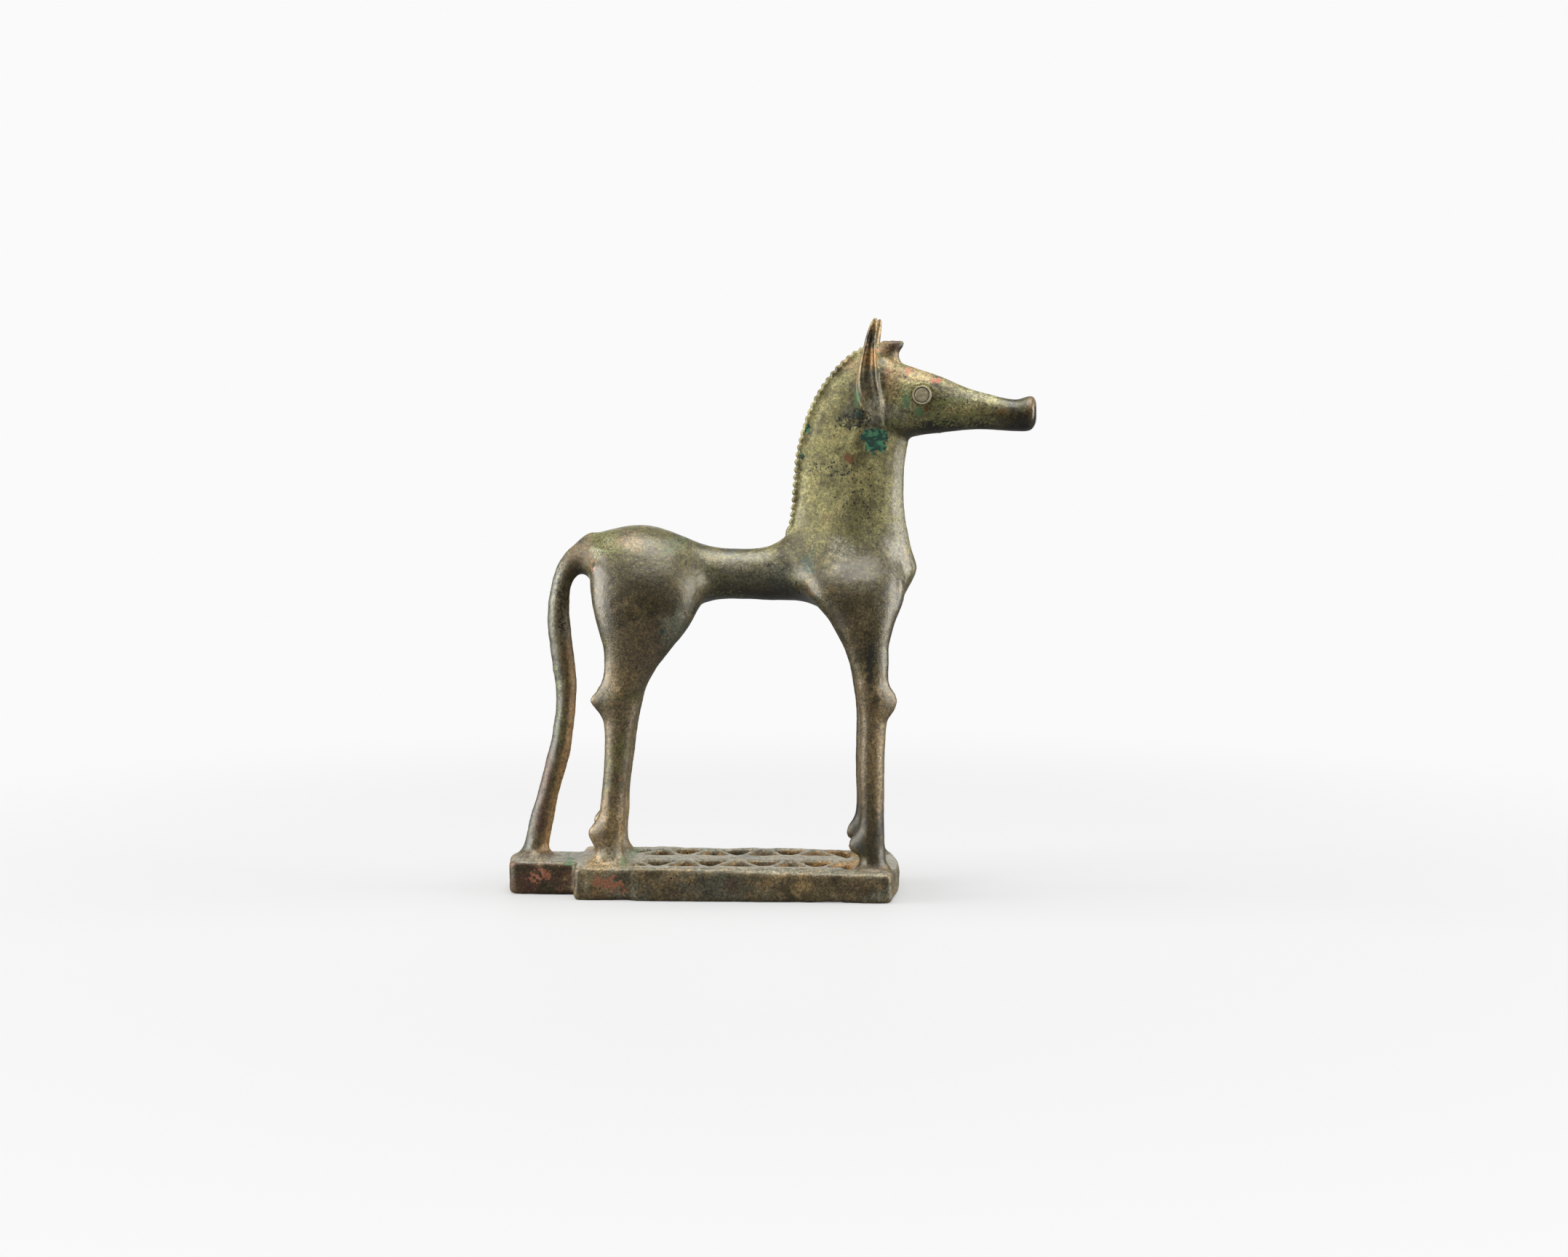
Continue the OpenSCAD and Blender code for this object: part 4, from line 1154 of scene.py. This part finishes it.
def bronze(name, shine):
    """Patinated bronze: a painted ground colour with grain, specks, growths and rubbed edges."""
    g = Graph(bpy.data.materials.new(name))
    fine = g.grain(0.42, 4.0, 1.0)
    cloudy = g.grain(1.6, 3.0, 2.0)
    coarse = g.grain(0.8, 4.0, 3.0)
    grit = g.read("grit")
    dark = g.sums("SUBTRACT", 1.0, grit)
    light = g.sums("ADD", 1.0, grit)
    shade = g.sums("MULTIPLY", g.ramp(fine, 0.32, 0.68, dark, light), g.ramp(coarse, 0.35, 0.65, dark, light))
    shade = g.sums("MULTIPLY", shade, g.ramp(cloudy, 0.3, 0.7, 0.80, 1.20))
    colour = g.scale(g.read("tone", "Color"), shade)
    colour = g.blend(g.flecks("lime", 0.6, 5.0, 0.72, 0.08), colour, LIME)
    colour = g.blend(g.flecks("soot", 0.7, 6.0, 0.72, 0.10), colour, NEAR_BLACK)
    colour = g.blend(g.ramp(g.grain(0.4, 1.0, 7.0), 0.68, 0.76, 0, 0.6), colour, PALE_GREY)
    colour = g.blend(g.sums("MULTIPLY", g.read("worn"), g.ramp(fine, 0.3, 0.6, 0.1, 0.6)), colour, TAN)
    copper = g.veins("copper", 2.2, 8.0)
    colour = g.blend(copper, colour, g.blend(g.ramp(coarse, 0.4, 0.6), COPPER, PINK))
    rust = g.patch("rust", 1.0, 9.0)
    colour = g.blend(rust, colour, g.blend(g.ramp(coarse, 0.4, 0.6), RUST, BARK))
    mint = g.patch("mint", 0.6, 10.0, 0.25, 3.2)
    colour = g.blend(g.sums("MULTIPLY", mint, 0.8), colour, MINT)
    crust = g.patch("verdigris", 0.9, 11.0, 0.12, 3.0)
    streak = g.ramp(g.grain(1.3, 5.0, 12.0), 0.46, 0.60)
    colour = g.blend(crust, colour, g.blend(streak, PINE, EMERALD))
    rough = g.sums("MULTIPLY_ADD", g.ramp(fine, 0.3, 0.7), 0.12, g.read("gloss"))
    rough = g.sums("MULTIPLY_ADD", g.sums("MAXIMUM", crust, g.sums("MULTIPLY", mint, 0.6)), 0.3, rough)
    rough = g.sums("MULTIPLY_ADD", copper, 0.1, rough)
    height = g.sums("MULTIPLY_ADD", fine, 0.6, g.sums("MULTIPLY", cloudy, 0.8))
    height = g.sums("MULTIPLY", height, grit)
    height = g.sums("MULTIPLY_ADD", crust, 0.3, height)
    return g.finish(colour, rough, height, 0.2, shine, 0.3)


def eye_bronze():
    """The eye buttons: rubbed pale bronze with painted shade in the groove and a few green and copper flecks.
    """
    g = Graph(bpy.data.materials.new("eye_bronze"))
    fine = g.grain(0.35, 4.0, 21.0)
    cloudy = g.grain(1.5, 3.0, 22.0)
    colour = g.blend(g.ramp(cloudy, 0.35, 0.65), EYE_PALE, EYE_RUBBED)
    colour = g.scale(colour, g.ramp(fine, 0.3, 0.7, 0.7, 1.25))
    for fleck, size, seed, low in EYE_FLECKS:
        colour = g.blend(g.ramp(g.grain(size, 2.0, seed), low, low + 0.04), colour, fleck)
    # painted shade: the groove round the eye's face darkened nearly to black
    colour = g.blend(g.sums("MULTIPLY", g.read("groove"), 0.85), colour, NEAR_BLACK)
    return g.finish(colour, g.ramp(fine, 0.3, 0.7, 0.36, 0.52), fine, 0.05, 1.6, 0.2)


# ---- studio ----

CAMERA_PLACE = (0.0039, -0.9, 0.155)
CAMERA_DOWN = 4.69
CAMERA_LENS = 67.56
WHITE = (1, 1, 1, 1)
# strength of the studio's white, and where the paper starts and ends fading to it
PAPER_WHITE = 0.955
PAPER_FADE = 0.17
PAPER_EDGE = 0.45
# the paper as the camera sees it, and as it lights the statue
PAPER_SEEN = (0.48, 0.48, 0.48)
PAPER_UNSEEN = (0.22, 0.22, 0.22)
# what the bronze reflects: low down, overhead, and a bright cloth behind it
ROOM_DIM = 0.02
ROOM_TOP = 0.32
BACKDROP = 0.95
AIM = Vector((0, 0, 0.09))
# place, size and power of each softbox
SOFTBOXES = {
    "left_softbox": ((-1.25, -0.10, 0.30), (0.9, 1.2), 25),
    "right_softbox": ((1.25, -0.10, 0.30), (0.9, 1.2), 23),
    "top_softbox": ((0.0, -0.1, 1.5), (1.4, 1.2), 28),
}


def make_camera():
    """A long lens from the horse's right side, a little above the plate."""
    data = bpy.data.cameras.new("camera")
    data.sensor_width = 36
    data.lens = CAMERA_LENS
    data.clip_start = 0.05
    data.clip_end = 20
    camera = bpy.data.objects.new("camera", data)
    camera.location = CAMERA_PLACE
    camera.rotation_euler = (math.radians(90 - CAMERA_DOWN), 0, 0)
    bpy.context.scene.collection.objects.link(camera)
    bpy.context.scene.camera = camera


def softbox(name, place, size, power):
    """A rectangular light aimed at the statue, unseen by the camera itself."""
    data = bpy.data.lights.new(name, "AREA")
    data.shape = "RECTANGLE"
    data.size, data.size_y = size
    data.energy = power
    light = bpy.data.objects.new(name, data)
    light.location = place
    light.rotation_euler = (AIM - Vector(place)).to_track_quat("-Z", "Y").to_euler()
    light.visible_camera = False
    bpy.context.scene.collection.objects.link(light)


def make_world():
    """White where the camera looks; dim round the sides and brighter overhead for everything else."""
    world = bpy.data.worlds.new("studio")
    g = Graph(world)
    seen = g.tree.nodes["Background"]
    g.link(seen, WHITE, PAPER_WHITE)
    split = g.add("SeparateXYZ")
    g.link(split, g.coordinates["Generated"])
    overhead = g.ramp(split.outputs["Z"], -0.1, 0.9, ROOM_DIM, ROOM_TOP, "LINEAR")
    behind = g.ramp(split.outputs["Y"], 0.82, 0.96)
    room = g.link(g.add("Background"), WHITE, g.sums("MULTIPLY_ADD", behind, BACKDROP, overhead))
    direct = g.add("LightPath").outputs["Is Camera Ray"]
    bpy.context.scene.world = g.show(direct, room, seen.outputs[0], "World Output")


def floor_paper():
    """Pale paper that takes a soft shadow near the statue and fades to white; it throws little light up."""
    g = Graph(bpy.data.materials.new("floor_paper"))
    direct = g.add("LightPath").outputs["Is Camera Ray"]
    paper = g.tree.nodes["Principled BSDF"]
    g.put(paper.inputs["Base Color"], g.blend(direct, PAPER_UNSEEN, PAPER_SEEN))
    g.put(paper.inputs["Roughness"], 0.6)
    g.put(paper.inputs["Specular IOR Level"], 0.2)
    glow = g.link(g.add("Emission"), WHITE, g.ramp(direct, 0, 1, 0.1, PAPER_WHITE))
    away = g.add("VectorMath", operation="LENGTH")
    g.link(away, g.coordinates["Object"])
    fade = g.ramp(away.outputs["Value"], PAPER_FADE, PAPER_EDGE, 0.4)
    return g.show(fade, paper.outputs[0], glow, "Material Output")


def make_floor():
    """A round sheet of pale paper."""
    edge = PAPER_EDGE / MM
    points, faces = lathe([(1, -1), (edge, -1), (edge, 0), (edge / 2, 0), (1, 0)], 96)
    floor = mesh_object("floor", points, faces)
    dress(floor.data, floor_paper())


def make_studio():
    """Camera, paper and lights."""
    bpy.context.scene.view_settings.view_transform = "Standard"
    make_camera()
    make_world()
    make_floor()
    for name, (place, size, power) in SOFTBOXES.items():
        softbox(name, place, size, power)


# ---- making the statue ----

# how far a smoothing pass pushes the skin back after pulling it in by a half: normally, and for many passes
PUSH_BACK = -0.53
LONG_PUSH_BACK = -0.51


def fine_places(points):
    """Which points lie on the mane, ears, forelock or round the eyes."""
    chosen = np.zeros(len(points), bool)
    for node in CRISP:
        low, high = box_mm(node)
        chosen |= ((points > low - 0.6) & (points < high + 0.6)).all(axis=1)
    beside_mane = (np.abs(points[:, 1]) > 3) & (points[:, 0] < edge_mm("head", 0, 0) - 1.8)
    chosen &= ~beside_mane
    for side in SIDES:
        chosen |= np.linalg.norm(points - eye_axis(side)[0], axis=1) < 5
    return chosen


def body_share(points):
    """Where the long smoothing works: from the plate up to the head, and less on the crest of the neck."""
    x, _, z = points.T
    back, foot = edge_mm("mane", 0, 0), edge_mm("mane", 0, 2)
    chin = edge_mm("head", 0, 2)
    crest = rise(z, foot - 0.5, foot + 2.5) * (1 - rise(x, back + 5.1, back + 8.1))
    return hump(z, PLATE_TOP + 0.5, PLATE_TOP + 3, chin - 3.4, chin + 2.6) * (1 - 0.8 * crest)


def cast_skin(fields):
    """The whole casting's skin, smoothed, worked over and painted."""
    skin = Skin(*cast_field().skin())
    skin.smooth(6, np.ones(len(skin.points)), PUSH_BACK)
    skin.smooth(40, body_share(skin.points), LONG_PUSH_BACK)
    skin.refine(fine_places(skin.points))
    skin.smooth(3, np.ones(len(skin.points)), PUSH_BACK)
    cut_mane(skin)
    sink_eyes(skin)
    fill_muscles(skin)
    kind = kinds(skin.points, fields)
    roughen(skin, kind)
    keep_in_box(skin)
    skin.outward = skin.normals()
    patina = Patina(skin.points, skin.outward, kind)
    patina.lay_clouds()
    patina.lay_plate_top_sheen()
    patina.lay_tail()
    patina.lay_openings()
    patina.lay_marks()
    patina.lay_underside()
    patina.lay_wear(bends(skin))
    skin.surface = patina.surface()
    return skin


def make_statue():
    """Casts, parts and finishes the horse."""
    fields = node_fields()
    skin = cast_skin(fields)
    tree = KDTree(len(skin.points))
    for i, p in enumerate(skin.points * MM):
        tree.insert(p, i)
    tree.balance()
    materials = {slot: bronze(slot, SHINE[slot]) for slot in SLOT_OF}
    for node, mesh in part(skin, fields).items():
        finish_piece(node, mesh, skin, skin.outward, tree, materials[slot_of(node)])
    metal = eye_bronze()
    for side in SIDES:
        make_eye(side, metal)


make_studio()
make_statue()
